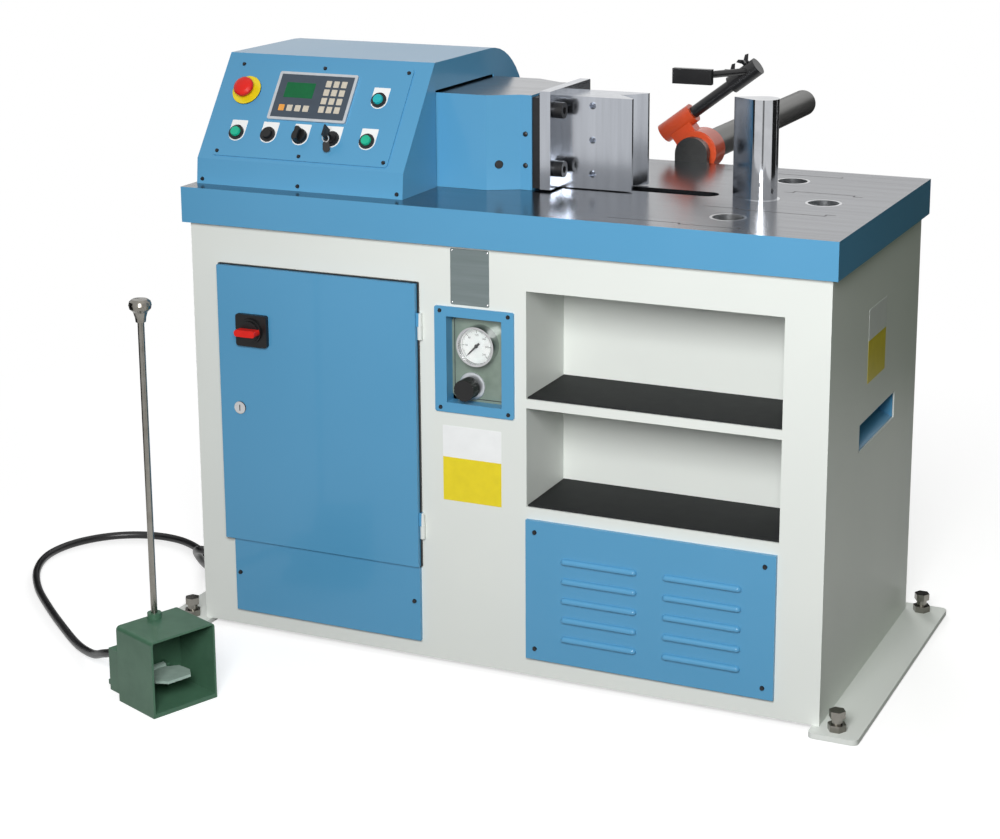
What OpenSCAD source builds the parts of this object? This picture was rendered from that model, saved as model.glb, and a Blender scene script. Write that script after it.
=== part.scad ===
// Horizontal press brake: a hydraulic ram on a steel table pushes a vee die against a post.
// X runs along the table to the right, Y to the back, Z up. All sizes are millimetres.

/* [Table] */
// Length of the table slab along X
table_length = 1280; // [1240:10:1600]
// Depth of the table slab along Y
table_depth = 630; // [600:10:800]
// Height of the table's top face above the floor
table_height = 880; // [860:10:1060]
// Thickness of the table slab
table_thick = 68; // [50:1:90]
// Radius of the tool posts and of the bores that take them
post_r = 28; // [20:0.5:31]
// Wall of the hardened bush in each bore
bush_wall = 5; // [3:0.5:8]
// Distance from the ram's line to the front and back post bores
bore_offset = 190; // [150:5:220]
// Distance between the table's right end and the post
post_from_end = 235; // [200:5:320]
// Distance from the post to the bore on its right
bore_right_gap = 116; // [90:1:150]
// Width of the guide slot
slot_width = 44; // [30:1:60]
// Depth of the guide slot
slot_depth = 30; // [15:1:40]

/* [Cabinet] */
// How far the cabinet's sides stand in from the edge of the table
cabinet_inset = 12; // [5:1:30]
// Thickness of the cabinet's sheet steel
sheet = 3; // [2:0.5:4]
// Width of the foot bars under the cabinet's two ends
foot_width = 90; // [60:5:120]
// Thickness of the foot bars
foot_thick = 10; // [6:1:15]
// How far the foot bars stand out past the cabinet's sides
foot_out = 77; // [50:1:90]
// Depth of the two storage niches
niche_depth = 172; // [100:1:200]
// Width of the storage niches
niche_width = 478; // [350:1:490]
// Height of the upper niche
niche_top_h = 199; // [150:1:210]
// Height of the lower niche
niche_low_h = 187; // [150:1:190]
// Thickness of the shelf between the niches
shelf_thick = 17; // [10:1:20]

/* [Covers] */
// Width of the electrical door
door_w = 420; // [300:1:430]
// Height of the electrical door
door_h = 544; // [400:1:550]
// Depth of the folded edges of the door
door_depth = 14; // [10:1:20]
// Width of the louvred cover
louvre_cover_w = 475; // [420:1:490]
// Height of the louvred cover
louvre_cover_h = 269; // [240:1:275]
// Length of one louvre
louvre_len = 147; // [100:1:170]
// Height between one louvre and the next
louvre_pitch = 37.5; // [28:0.5:40]

/* [Ram] */
// Travel of the ram
stroke = 210; // [100:5:210]
// Width of the ram block along Y
ram_width = 250; // [200:2:260]
// Height of the ram block
ram_height = 178; // [150:1:190]
// Width of the die holder and the vee die
die_width = 90; // [70:1:110]
// Depth of the vee in the die
vee_depth = 38; // [15:1:40]
// Height of the post above the table
post_height = 183; // [140:1:200]
// Distance from the post's centre to the tip of its nose
post_nose = 56; // [50:1:70]
// Radius of the hydraulic cylinder's barrel
barrel_r = 65; // [55:1:72]
// Radius of the hydraulic piston rod
rod_r = 35; // [25:1:40]

/* [Hood] */
// Length of the control hood along X
hood_length = 440; // [430:1:460]
// Height of the control hood above the table
hood_height = 234; // [220:1:280]
// Depth of the hood's flat top
hood_top = 245; // [200:1:260]
// Radius of the hood's rounded back
hood_back_r = 170; // [120:1:180]

/* [Back gauge] */
// Radius of the back gauge's bar
bar_r = 30; // [20:1:34]
// Length of the back gauge's bar
bar_len = 768; // [500:1:900]
// Radius of the back gauge's arm
arm_r = 12; // [8:0.5:14]
// Length of the stop rod
stop_rod_len = 168; // [120:1:200]

/* [Foot pedal] */
// Width of the pedal's hood
pedal_w = 138; // [110:1:160]
// Height of the pedal's hood
pedal_h = 145; // [125:1:170]
// Depth of the pedal's hood
pedal_d = 110; // [100:1:140]
// Height of the knob's seat on the pedal's carrying rod above the floor
carry_top = 700; // [400:10:800]
// Radius of the pedal's cable
cable_r = 8; // [6:0.5:9]

/* [Hidden] */

gap = 0.3;
table_top = table_height;
table_under = table_height - table_thick;
axis_y = table_depth / 2;
half_len = table_length / 2;
cab_x = half_len - cabinet_inset;
cab_y0 = cabinet_inset;
cab_y1 = table_depth - cabinet_inset;
post_x = half_len - post_from_end;
bush_r = post_r + bush_wall;
bore_spots = [[post_x, axis_y], [post_x + bore_right_gap, axis_y],
    [post_x, axis_y - bore_offset], [post_x, axis_y + bore_offset]];

// Front of the cabinet: openings are set from its left or right edge and down from the table
door_x0 = -cab_x + 62;
door_z1 = table_under - 76;
door_z0 = door_z1 - door_h;
door_x1 = door_x0 + door_w;
niche_x1 = cab_x - 81;
niche_x0 = niche_x1 - niche_width;
niche_z3 = table_under - 72;
niche_z2 = niche_z3 - niche_top_h;
niche_z1 = niche_z2 - shelf_thick;
niche_z0 = niche_z1 - niche_low_h;
niche_y1 = cab_y0 + niche_depth;
louvre_x1 = cab_x - 83;
louvre_x0 = louvre_x1 - louvre_cover_w;
louvre_z0 = 46;
louvre_z1 = louvre_z0 + louvre_cover_h;
lower_x0 = door_x0 + 16;
lower_x1 = door_x1 - 1;
lower_z0 = 43;
lower_z1 = door_z0 - 1;
recess_w = 114;
recess_h = 166;
recess_x = niche_x0 - 102;
recess_z = table_under - 213;
cover_depth = 8;

// Door hinge: pin outside the door's right edge
hinge_r = 4.5;
hinge_pin_r = 2.2;
hinge_x = door_x1 + hinge_r + gap;
hinge_y = cab_y0 - hinge_r - gap;
hinge_zs = [door_z0 + 80, door_z1 - 80];
hinge_half = 25;

// Control hood: front lip, sloping panel, flat top, rounded back
hood_x0 = -half_len + 8;
hood_x1 = hood_x0 + hood_length;
hood_y0 = 45;
lip_h = 48;
kink_y = hood_y0 + 5;
kink_z = table_top + lip_h;
lip_lean = atan2(kink_y - hood_y0, lip_h);
hood_z1 = table_top + hood_height;
slope_run = 135;
slope_rise = hood_height - lip_h;
slope = atan2(slope_rise, slope_run);
slope_len = norm([slope_run, slope_rise]);
hood_top_y = kink_y + slope_run;
hood_arc_y = hood_top_y + hood_top;
hood_y1 = hood_arc_y + hood_back_r;
hood_sheet = 2.5;

// Control panel plate and the fittings on it, in the slope's own u and v
panel_u0 = 30;
panel_u1 = 404;
panel_v0 = 8;
panel_v1 = 214;
panel_thick = 2.5;
estop_at = [63, 148];
start_at = [70, 57];
jog_at = [139, 57];
selector_at = [208, 57];
key_at = [276, 57];
cycle_at = [350, 57];
reset_at = [350, 143];
bezel_spots = [start_at, jog_at, selector_at, key_at, cycle_at, reset_at];
display_at = [211, 140];
display_size = [168, 102];

// Ram train along X at rest, measured from the table's middle
ram_z0 = table_top + gap;
ram_z1 = ram_z0 + ram_height;
ram_axis_z = (ram_z0 + ram_z1) / 2;
ram_x0 = hood_x1 - 13;
ram_x1 = hood_x1 + 180;
back_t = 14;
shim_t = 4;
flange_t = 21;
flange_x0 = ram_x1 + back_t + shim_t;
flange_x1 = flange_x0 + flange_t;
flange_w = 194;
flange_z0 = table_top + 4;
flange_z1 = ram_z1 + 9;
holder_len = 73;
holder_x1 = flange_x1 + holder_len;
die_len = 68;
die_x1 = holder_x1 + die_len;
die_z0 = table_top + 2;
die_z1 = ram_z1 - 4;
tang_len = 20;
tang_w = 24;
bolt_y = 72;
bolt_z = 55;
barrel_x0 = hood_x0 + 32;
barrel_x1 = ram_x0 - 45;
barrel_wall = 15;
key_x0 = ram_x0 + 25;
key_x1 = holder_x1 - 11;
slot_x1 = key_x1 + stroke + slot_width / 2 + 1;
slot_x0 = key_x0 - 10;

// Back gauge
bar_x = 155;
bar_z = table_top + 15;
bar_y1 = table_depth + bar_len;
collar_y = table_depth + 58;
collar_len = 56;
collar_r = bar_r + 13;
arm_tilt = 37;
arm_off = collar_r + arm_r + 15;
arm_from = -40;
arm_to = 166;
rod_at = 182;
rod_turn = 33.6;

// Foot pedal: turned about its front edge's middle
pedal_x = -441;
pedal_y = -354;
pedal_turn = -22;
pedal_wall = 4;
rear_d = 55;
rear_w = 104;
rear_h = 82;
pedal_pin_x = -pedal_d + 14;
pedal_pin_z = 46;
cable_exit = [-pedal_d - rear_d, -20, 52];

box_y0 = pedal_y - pedal_w / 2 * cos(pedal_turn);
mid_y = (box_y0 + bar_y1) / 2;
gland_y = 70;
gland_z = 125;
gland_len = 24;
gland_r = cable_r + 3;

// Route of the pedal's cable, from the pedal to the gland on the cabinet's left side
cable_route = [[-616.3, -304.7, 52], [-635, -297.2, 51], [-665, -284, 40], [-712, -255, 20],
    [-780, -208, 9], [-860, -146, 9], [-950, -70, 9], [-1035, 10, 9], [-1100, 95, 9],
    [-1132, 180, 9], [-1122, 262, 9], [-1075, 330, 9], [-1005, 368, 9], [-925, 370, 9],
    [-850, 335, 9], [-790, 272, 12], [-745, 205, 32], [-720, 145, 68], [-702, 98, 106],
    [-676, 71, 124], [-652, 70, 125]];

blue = [0.36, 0.60, 0.78];
cream = [0.86, 0.87, 0.83];
steel = [0.62, 0.63, 0.65];
bright = [0.82, 0.83, 0.85];
black = [0.10, 0.10, 0.11];
green = [0.27, 0.41, 0.34];
orange = [0.87, 0.31, 0.13];

// Everything is drawn from the table's front edge and moved so that the box is centred
module place() {
    translate([0, -mid_y, 0]) children();
}

module rounded(w, h, r) {
    square([w - 2 * r, h], center = true);
    square([w, h - 2 * r], center = true);
    for (x = [-1, 1], y = [-1, 1]) translate([x * (w / 2 - r), y * (h / 2 - r)]) circle(r, $fn = 48);
}

// A box given by its two corners
module block(a, b) {
    translate(a) cube(b - a);
}

module rod_y(x, y, z, r, len) {
    translate([x, y, z]) rotate([-90, 0, 0]) cylinder(r = r, h = len, $fn = 64);
}

module rod_x(x, y, z, r, len) {
    translate([x, y, z]) rotate([0, 90, 0]) cylinder(r = r, h = len, $fn = 64);
}

// A socket head screw pointing into the page along -Z
module cap_screw(r, h, shank) {
    difference() {
        cylinder(r = r, h = h, $fn = 32);
        translate([0, 0, h - r * 0.8]) cylinder(r = r * 0.5, h = r, $fn = 6);
    }
    translate([0, 0, -shank]) cylinder(r = r * 0.6, h = shank, $fn = 32);
}

// Corners of a convex outline moved in by t
function inset(p, t) = let (n = len(p)) [for (i = [0 : n - 1])
    let (a = p[(i + n - 1) % n], b = p[i], c = p[(i + 1) % n],
        u = (b - a) / norm(b - a), v = (c - b) / norm(c - b),
        nu = [-u[1], u[0]], nv = [-v[1], v[0]])
    b + t * (nu + nv) / (1 + nu * nv)];

// ---- Table ----
module slot_shape(x0, x1, w) {
    translate([x0, -w / 2]) square([x1 - x0 - w / 2, w]);
    translate([x1 - w / 2, 0]) circle(w / 2, $fn = 64);
}

module table_slab() {
    color(steel) place() difference() {
        translate([-half_len, 0, table_under]) cube([table_length, table_depth, table_thick]);
        for (b = bore_spots) translate([b[0], b[1], table_under - 1])
            cylinder(r = bush_r, h = table_thick + 2, $fn = 96);
        translate([0, axis_y, table_top - slot_depth]) linear_extrude(slot_depth + 1)
            slot_shape(slot_x0, slot_x1, slot_width);
    }
}

module post_bushes() {
    color(bright) place() for (b = bore_spots) translate([b[0], b[1], table_under])
        difference() {
            cylinder(r = bush_r, h = table_thick, $fn = 96);
            translate([0, 0, -1]) cylinder(r = post_r + 0.05, h = table_thick + 2, $fn = 96);
        }
}

module bending_post() {
    tangent = acos(post_r / post_nose);
    color(bright) place() translate([post_x, axis_y, 0]) {
        translate([0, 0, table_under + 4]) cylinder(r = post_r, h = table_thick, $fn = 96);
        translate([0, 0, table_top + gap]) linear_extrude(post_height) {
            circle(post_r, $fn = 96);
            polygon([[-post_nose, 0], [-post_r * cos(tangent), -post_r * sin(tangent)],
                [0, 0], [-post_r * cos(tangent), post_r * sin(tangent)]]);
        }
    }
}

// ---- Cabinet ----
module front_frame() {
    rim = 14;
    color(cream) place() difference() {
        block([-cab_x, cab_y0, foot_thick], [cab_x, cab_y0 + sheet, table_under]);
        block([door_x0 + rim, cab_y0 - 1, door_z0 + rim], [door_x1 - rim, cab_y0 + sheet + 1, door_z1 - rim]);
        block([lower_x0 + rim, cab_y0 - 1, lower_z0 + rim],
            [lower_x1 - rim, cab_y0 + sheet + 1, lower_z1 - rim]);
        block([niche_x0, cab_y0 - 1, niche_z0], [niche_x1, cab_y0 + sheet + 1, niche_z1]);
        block([niche_x0, cab_y0 - 1, niche_z2], [niche_x1, cab_y0 + sheet + 1, niche_z3]);
        block([louvre_x0 + rim, cab_y0 - 1, louvre_z0 + rim],
            [louvre_x1 - rim, cab_y0 + sheet + 1, louvre_z1 - rim]);
        block([recess_x - recess_w / 2, cab_y0 - 1, recess_z - recess_h / 2],
            [recess_x + recess_w / 2, cab_y0 + sheet + 1, recess_z + recess_h / 2]);
    }
    color(cream) place() for (z = hinge_zs) {
        translate([hinge_x, hinge_y, z - hinge_half]) difference() {
            union() {
                cylinder(r = hinge_r, h = hinge_half - gap, $fn = 32);
                translate([0, 0, 0]) cube([hinge_r, hinge_r + gap, hinge_half - gap]);
            }
            translate([0, 0, 3]) cylinder(r = hinge_pin_r + 0.05, h = hinge_half, $fn = 32);
        }
    }
}

pocket_y0 = 214;
pocket_y1 = 459;
pocket_z0 = table_under - 360;
pocket_z1 = table_under - 309;

module side_panel(s) {
    x0 = s > 0 ? cab_x - sheet : -cab_x;
    difference() {
        block([x0, cab_y0 + sheet, foot_thick], [x0 + sheet, cab_y1 - sheet, table_under]);
        block([x0 - 1, pocket_y0, pocket_z0], [x0 + sheet + 1, pocket_y1, pocket_z1]);
        if (s < 0) rod_x(x0 - 1, gland_y, gland_z, gland_r + gap, sheet + 2);
    }
}

// The two sides and the floor are one welded sheet body
module cabinet_body() {
    color(cream) place() {
        side_panel(-1);
        side_panel(1);
        block([-cab_x, cab_y0 + sheet, foot_thick], [cab_x, cab_y1 - sheet, foot_thick + sheet]);
    }
}

// Folded trough behind each side's slot: a sloping floor between two end tabs
module lifting_pockets() {
    in = 45;
    color(blue) place() for (s = [-1, 1]) {
        x1 = s * (cab_x - sheet - gap);
        difference() {
            translate([0, pocket_y0 - 2, 0]) rotate([90, 0, 0]) mirror([0, 0, 1])
                linear_extrude(pocket_y1 - pocket_y0 + 4)
                polygon([[x1, pocket_z0 - 2], [x1, pocket_z1 + 2], [x1 - s * in, pocket_z1 + 22],
                    [x1 - s * in, pocket_z0 + 18]]);
            translate([0, pocket_y0 + 2, 0]) rotate([90, 0, 0]) mirror([0, 0, 1])
                linear_extrude(pocket_y1 - pocket_y0 - 4)
                polygon([[x1 + s, pocket_z0 + 1], [x1 + s, pocket_z1 - 1],
                    [x1 - s * (in - 2), pocket_z1 + 18], [x1 - s * (in - 2), pocket_z0 + 21]]);
        }
    }
}

module rear_panel() {
    color(cream) place() difference() {
        block([-cab_x, cab_y1 - sheet, foot_thick], [cab_x, cab_y1, table_under]);
        for (x = [-1, 1], i = [0 : 5])
            translate([x * cab_x / 2, cab_y1, 130 + 30 * i]) cube([200, 4 * sheet, 8], center = true);
    }
}

module niche_box() {
    color(cream) place() difference() {
        block([niche_x0 - 2, cab_y0 + sheet, niche_z0 - 2], [niche_x1 + 2, niche_y1 + 2, niche_z3 + 2]);
        block([niche_x0, cab_y0, niche_z0], [niche_x1, niche_y1, niche_z1]);
        block([niche_x0, cab_y0, niche_z2], [niche_x1, niche_y1, niche_z3]);
    }
}

module niche_mats() {
    color(black) place() for (z = [niche_z0, niche_z2])
        block([niche_x0 + 1, cab_y0 + 4, z], [niche_x1 - 1, niche_y1 - 1, z + 3]);
}

module foot_bars() {
    color(cream) place() for (s = [-1, 1])
        translate([s * (cab_x + foot_out - foot_width / 2), (cab_y0 + cab_y1) / 2, 0]) difference() {
            linear_extrude(foot_thick) rounded(foot_width, cab_y1 - cab_y0 + 64, 12);
            for (y = [-1, 1]) translate([0, y * (cab_y1 - cab_y0) / 2, -1])
                cylinder(r = 10.05, h = foot_thick + 2, $fn = 48);
        }
}

module levelling_bolts() {
    color(bright) place() for (s = [-1, 1], y = [cab_y0, cab_y1])
        translate([s * (cab_x + foot_out - foot_width / 2), y, 0]) {
            cylinder(r = 10, h = 34, $fn = 48);
            translate([0, 0, foot_thick]) cylinder(r = 17, h = 12, $fn = 6);
            translate([0, 0, 34]) cylinder(r = 15, h = 13, $fn = 6);
        }
}

// ---- Covers ----
module pan(x0, x1, z0, z1, depth) {
    difference() {
        block([x0, cab_y0 - depth, z0], [x1, cab_y0, z1]);
        block([x0 + 2, cab_y0 - depth + 2, z0 + 2], [x1 - 2, cab_y0 + 1, z1 - 2]);
    }
}

module lower_cover() {
    color(blue) place() pan(lower_x0, lower_x1, lower_z0, lower_z1, cover_depth);
}

// One louvre: a pressed scoop, round in section and at its ends, open along its lower edge
module louvre() {
    r = 7;
    difference() {
        union() {
            rotate([0, 90, 0]) cylinder(r = r, h = louvre_len - 2 * r, center = true, $fn = 48);
            for (s = [-1, 1]) translate([s * (louvre_len / 2 - r), 0, 0]) sphere(r, $fn = 48);
        }
        union() {
            rotate([0, 90, 0]) cylinder(r = r - 1.5, h = louvre_len - 2 * r, center = true, $fn = 48);
            for (s = [-1, 1]) translate([s * (louvre_len / 2 - r), 0, 0]) sphere(r - 1.5, $fn = 48);
        }
        translate([-louvre_len, 0, -r]) cube([2 * louvre_len, 2 * r, 3 * r]);
        translate([-louvre_len, -2 * r, -2 * r]) cube([2 * louvre_len, 4 * r, 2 * r - 2]);
    }
}

louvre_xs = [louvre_x0 + 144, louvre_x0 + 340];

module louvred_cover() {
    face = cab_y0 - cover_depth;
    color(blue) place() {
        difference() {
            pan(louvre_x0, louvre_x1, louvre_z0, louvre_z1, cover_depth);
            for (x = louvre_xs, i = [0 : 4])
                translate([x - louvre_len / 2 + 6, face - 1, louvre_z0 + 46 + i * louvre_pitch])
                    cube([louvre_len - 12, 4, 5]);
        }
        for (x = louvre_xs, i = [0 : 4])
            translate([x, face, louvre_z0 + 48 + i * louvre_pitch]) louvre();
    }
}

cover_spots = [for (x = [louvre_x0 + 18, louvre_x1 - 20], z = [louvre_z0 + 21, louvre_z1 - 22]) [x, z],
    [lower_x0 + 10, lower_z0 + 78], [lower_x1 - 12, lower_z0 + 78]];

module cover_screws() {
    color(black) place() {
        for (p = cover_spots) translate([p[0], cab_y0 - cover_depth, p[1]]) rotate([90, 0, 0])
            cylinder(r1 = 4.5, r2 = 3.4, h = 3, $fn = 32);
        for (x = [-1, 1], z = [-1, 1])
            translate([recess_x + x * (recess_w / 2 + 11), cab_y0 - 4, recess_z + z * (recess_h / 2 + 8)])
                rotate([90, 0, 0]) cylinder(r1 = 4, r2 = 3, h = 2.5, $fn = 32);
        for (u = [panel_u0 + 9, (panel_u0 + panel_u1) / 2, panel_u1 - 9], v = [panel_v0 + 9, panel_v1 - 10])
            on_slope([u, v], panel_thick) cylinder(r1 = 4, r2 = 3, h = 2.5, $fn = 32);
        for (x = [hood_x0 + 12, (hood_x0 + hood_x1) / 2, hood_x1 - 12])
            translate([x, hood_y0 + 9 * tan(lip_lean), table_top + 9]) rotate([90 - lip_lean, 0, 0])
                cylinder(r1 = 4, r2 = 3, h = 3, $fn = 32);
    }
}

module gauge_frame() {
    color(blue) place() difference() {
        union() {
            translate([recess_x, cab_y0, recess_z]) rotate([90, 0, 0])
                linear_extrude(4) rounded(recess_w + 44, recess_h + 33, 4);
            block([recess_x - recess_w / 2, cab_y0, recess_z - recess_h / 2],
                [recess_x + recess_w / 2, cab_y0 + 24, recess_z + recess_h / 2]);
        }
        block([recess_x - recess_w / 2 + 2, cab_y0 - 5, recess_z - recess_h / 2 + 2],
            [recess_x + recess_w / 2 - 2, cab_y0 + 25, recess_z + recess_h / 2 - 2]);
    }
}

gauge_x = recess_x + 2;
gauge_z = recess_z + 29;
gauge_r = 37;
gauge_len = 25;
needle_pin_r = 1.5;
knob_x = recess_x - 15;
knob_z = recess_z - 52;

module gauge_plate() {
    w = recess_w - 4;
    h = recess_h - 4;
    c = 12;
    color([0.45, 0.55, 0.5]) place() translate([recess_x, cab_y0 + 24, recess_z]) rotate([90, 0, 0]) difference() {
        linear_extrude(3) polygon([[-w / 2 + c, -h / 2], [w / 2 - c, -h / 2], [w / 2, -h / 2 + c],
            [w / 2, h / 2 - c], [w / 2 - c, h / 2], [-w / 2 + c, h / 2], [-w / 2, h / 2 - c],
            [-w / 2, -h / 2 + c]]);
        translate([knob_x - recess_x, knob_z - recess_z, -1]) cylinder(r = 6.3, h = 5, $fn = 48);
        translate([gauge_x - recess_x, gauge_z - recess_z, -1]) cylinder(r = 8.3, h = 5, $fn = 48);
    }
}

module gauge_case() {
    front = cab_y0 - 4;
    color(bright) place() difference() {
        union() {
            rod_y(gauge_x, front, gauge_z, gauge_r, gauge_len);
            rod_y(gauge_x, front + gauge_len, gauge_z, 8, 26);
        }
        rod_y(gauge_x, front - 1, gauge_z, gauge_r - 4, 11);
        rod_y(gauge_x, front + 5, gauge_z, needle_pin_r + 0.05, 12);
    }
}

module gauge_needle() {
    y = cab_y0 - 4 + 8;
    color(black) place() {
        translate([gauge_x, y, gauge_z]) rotate([0, -135, 0]) rotate([90, 0, 0]) linear_extrude(1)
            polygon([[-2, -8], [2, -8], [1, 24], [-1, 24]]);
        rod_y(gauge_x, y - 1.4, gauge_z, 3.5, 1.6);
        rod_y(gauge_x, y - 1, gauge_z, needle_pin_r, 8);
    }
}

module regulator_knob() {
    color(black) place() difference() {
        union() {
            rod_y(knob_x, cab_y0 - 16, knob_z, 20, 26);
            rod_y(knob_x, cab_y0 + 10, knob_z, 6, 26);
        }
        for (a = [0 : 30 : 330]) translate([knob_x, cab_y0 - 17, knob_z]) rotate([0, a, 0])
            translate([21.5, 0, 0]) rotate([-90, 0, 0]) cylinder(r = 2.5, h = 22, $fn = 24);
    }
}

// ---- Electrical door ----
switch_x = door_x0 + 77;
switch_z = door_z1 - 120;
lock_x = door_x0 + 43;
lock_z = door_z1 - 276;
door_y = cab_y0 - door_depth;

module electrical_door() {
    color(blue) place() {
        difference() {
            translate([0, -gap, 0]) pan(door_x0, door_x1, door_z0, door_z1, door_depth);
            rod_y(switch_x, door_y - 5, switch_z, 8.3, 12);
            rod_y(lock_x, door_y - 5, lock_z, 9.05, 12);
        }
        for (z = hinge_zs) translate([hinge_x, hinge_y, z]) difference() {
            union() {
                cylinder(r = hinge_r, h = hinge_half, $fn = 32);
                translate([-hinge_r - gap, -hinge_r, 0]) cube([hinge_r, hinge_r, hinge_half]);
            }
            translate([0, 0, -1]) cylinder(r = hinge_pin_r + 0.05, h = hinge_half - 2, $fn = 32);
        }
    }
}

module hinge_pins() {
    color(bright) place() for (z = hinge_zs) translate([hinge_x, hinge_y, z - hinge_half + 3])
        cylinder(r = hinge_pin_r, h = 2 * hinge_half - 7, $fn = 32);
}

module main_switch_base() {
    color(black) place() difference() {
        union() {
            translate([switch_x, door_y - gap, switch_z]) rotate([90, 0, 0])
                linear_extrude(9) rounded(67, 62, 5);
            rod_y(switch_x, door_y - gap - 14, switch_z, 24, 5);
            rod_y(switch_x, door_y - gap, switch_z, 8, 30);
        }
        rod_y(switch_x, door_y - 20, switch_z, 4.05, 46);
    }
}

module main_switch_handle() {
    y = door_y - gap - 14 - gap;
    color([0.8, 0.1, 0.1]) place() {
        translate([switch_x, y, switch_z]) rotate([90, 0, 0]) {
            linear_extrude(4) circle(20, $fn = 64);
            linear_extrude(20) rounded(44, 13, 5);
        }
        rod_y(switch_x, y, switch_z, 4, 40);
    }
}

module door_lock() {
    color(bright) place() {
        difference() {
            union() {
                rod_y(lock_x, door_y - gap - 3, lock_z, 12, 3);
                rod_y(lock_x, door_y - gap, lock_z, 9, 22);
            }
            translate([lock_x - 1, door_y - 5, lock_z - 6]) cube([2, 6, 12]);
        }
        translate([lock_x - 8, door_y + 22 - gap, lock_z - 8]) cube([16, 3, 40]);
    }
}

module electrical_plate() {
    y = 300;
    color([0.75, 0.75, 0.72]) place() {
        block([door_x0 + 10, y, door_z0 + 20], [door_x1 - 10, y + 3, door_z1 - 10]);
        for (x = [door_x0 + 10, door_x1 - 40]) block([x, y + 3, foot_thick + sheet], [x + 30, y + 13, door_z1 - 10]);
    }
    color([0.3, 0.3, 0.33]) place() {
        for (i = [0 : 4]) block([door_x0 + 40 + i * 62, y - 70, door_z1 - 150],
            [door_x0 + 85 + i * 62, y - gap, door_z1 - 65]);
        block([door_x0 + 40, y - 95, door_z0 + 60], [door_x0 + 170, y - gap, door_z0 + 165]);
        for (i = [0 : 11]) block([door_x0 + 200 + i * 14, y - 45, door_z0 + 90],
            [door_x0 + 212 + i * 14, y - gap, door_z0 + 150]);
    }
}

// ---- Hydraulics in the cabinet ----
tank_y0 = niche_y1 + 40;
tank_top = 300;
pump_x = niche_x0 + 130;
pump_y = (tank_y0 + cab_y1) / 2 - 20;
pump_r = 45;

module oil_tank() {
    color([0.25, 0.28, 0.3]) place() {
        difference() {
            block([niche_x0 + 10, tank_y0, foot_thick + sheet], [niche_x1 - 20, cab_y1 - 40, tank_top]);
            block([niche_x0 + 14, tank_y0 + 4, foot_thick + sheet + 4],
                [niche_x1 - 24, cab_y1 - 44, tank_top - 5]);
            translate([pump_x, pump_y, tank_top - 10]) cylinder(r = pump_r + 2, h = 20, $fn = 64);
        }
        translate([niche_x1 - 80, tank_y0 + 60, tank_top]) cylinder(r = 28, h = 30, $fn = 48);
    }
}

module pump_motor() {
    color([0.3, 0.42, 0.5]) place() translate([pump_x, pump_y, tank_top]) {
        translate([0, 0, -150]) cylinder(r = pump_r, h = 155, $fn = 64);
        cylinder(r = 100, h = 14, $fn = 64);
        cylinder(r = 78, h = 250, $fn = 64);
        for (a = [0 : 15 : 345]) rotate([0, 0, a]) translate([70, -1.5, 30]) cube([20, 3, 180]);
        translate([0, 0, 215]) cylinder(r = 90, h = 50, $fn = 64);
        translate([60, -45, 90]) cube([60, 90, 80]);
    }
}

module valve_block() {
    x = niche_x0 + 375;
    y = (tank_y0 + cab_y1) / 2;
    color(steel) place() {
        block([x - 45, y - 40, tank_top], [x + 45, y + 40, tank_top + 70]);
        for (s = [-1, 1]) rod_x(x + (s > 0 ? 45 : -115), y, tank_top + 40, 22, 70);
        for (s = [-1, 1]) translate([x + s * 20, y, tank_top + 70])
            cylinder(r = 11, h = table_under - tank_top - 70, $fn = 48);
    }
}

// ---- Control hood ----
function hood_outline() = concat([[hood_y0, table_top], [hood_y1, table_top]],
    [for (a = [0 : 7.5 : 90]) [hood_arc_y + hood_back_r * cos(a), hood_z1 - hood_back_r + hood_back_r * sin(a)]],
    [[hood_top_y, hood_z1], [kink_y, kink_z]]);

module prism_x(outline, x0, x1) {
    translate([x0, 0, 0]) rotate([90, 0, 90]) linear_extrude(x1 - x0) polygon(outline);
}

module on_slope(p, w = 0) {
    translate([hood_x0, kink_y, kink_z]) rotate([slope, 0, 0]) translate([p[0], p[1], w]) children();
}

module control_hood() {
    color(blue) place() difference() {
        prism_x(hood_outline(), hood_x0, hood_x1);
        prism_x(concat([[hood_y0 + hood_sheet, table_top - 1], [hood_y1 - hood_sheet, table_top - 1]],
            [for (p = inset(hood_outline(), hood_sheet)) if (p[1] > table_top + hood_sheet + 1) p]),
            hood_x0 + hood_sheet, hood_x1 - hood_sheet);
        block([hood_x1 - 10, axis_y - ram_width / 2 - 4, table_top - 1],
            [hood_x1 + 10, axis_y + ram_width / 2 + 4, ram_z1 + 4]);
        on_slope([panel_u0 + 18, panel_v0 + 20], -20)
            cube([panel_u1 - panel_u0 - 36, panel_v1 - panel_v0 - 40, 40]);
    }
}

module control_panel() {
    color(blue) place() difference() {
        on_slope([(panel_u0 + panel_u1) / 2, (panel_v0 + panel_v1) / 2])
            linear_extrude(panel_thick) rounded(panel_u1 - panel_u0, panel_v1 - panel_v0, 6);
        for (p = bezel_spots) on_slope(p, -5) cylinder(r = 11.3, h = 15, $fn = 48);
        on_slope(estop_at, -5) cylinder(r = 11.3, h = 15, $fn = 48);
        on_slope(display_at - display_size / 2 + [9, 7], -5)
            cube([display_size[0] - 18, display_size[1] - 14, 15]);
    }
}

module display_unit() {
    color([0.75, 0.76, 0.78]) place() {
        on_slope(display_at, panel_thick) linear_extrude(5) rounded(display_size[0], display_size[1], 4);
        on_slope(display_at - display_size / 2 + [10, 8], panel_thick - 38)
            cube([display_size[0] - 20, display_size[1] - 16, 38]);
    }
}

bezel_h = 5;

module ring(r_out, r_in, h) {
    difference() {
        cylinder(r = r_out, h = h, $fn = 64);
        translate([0, 0, -1]) cylinder(r = r_in, h = h + 2, $fn = 64);
    }
}

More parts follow.
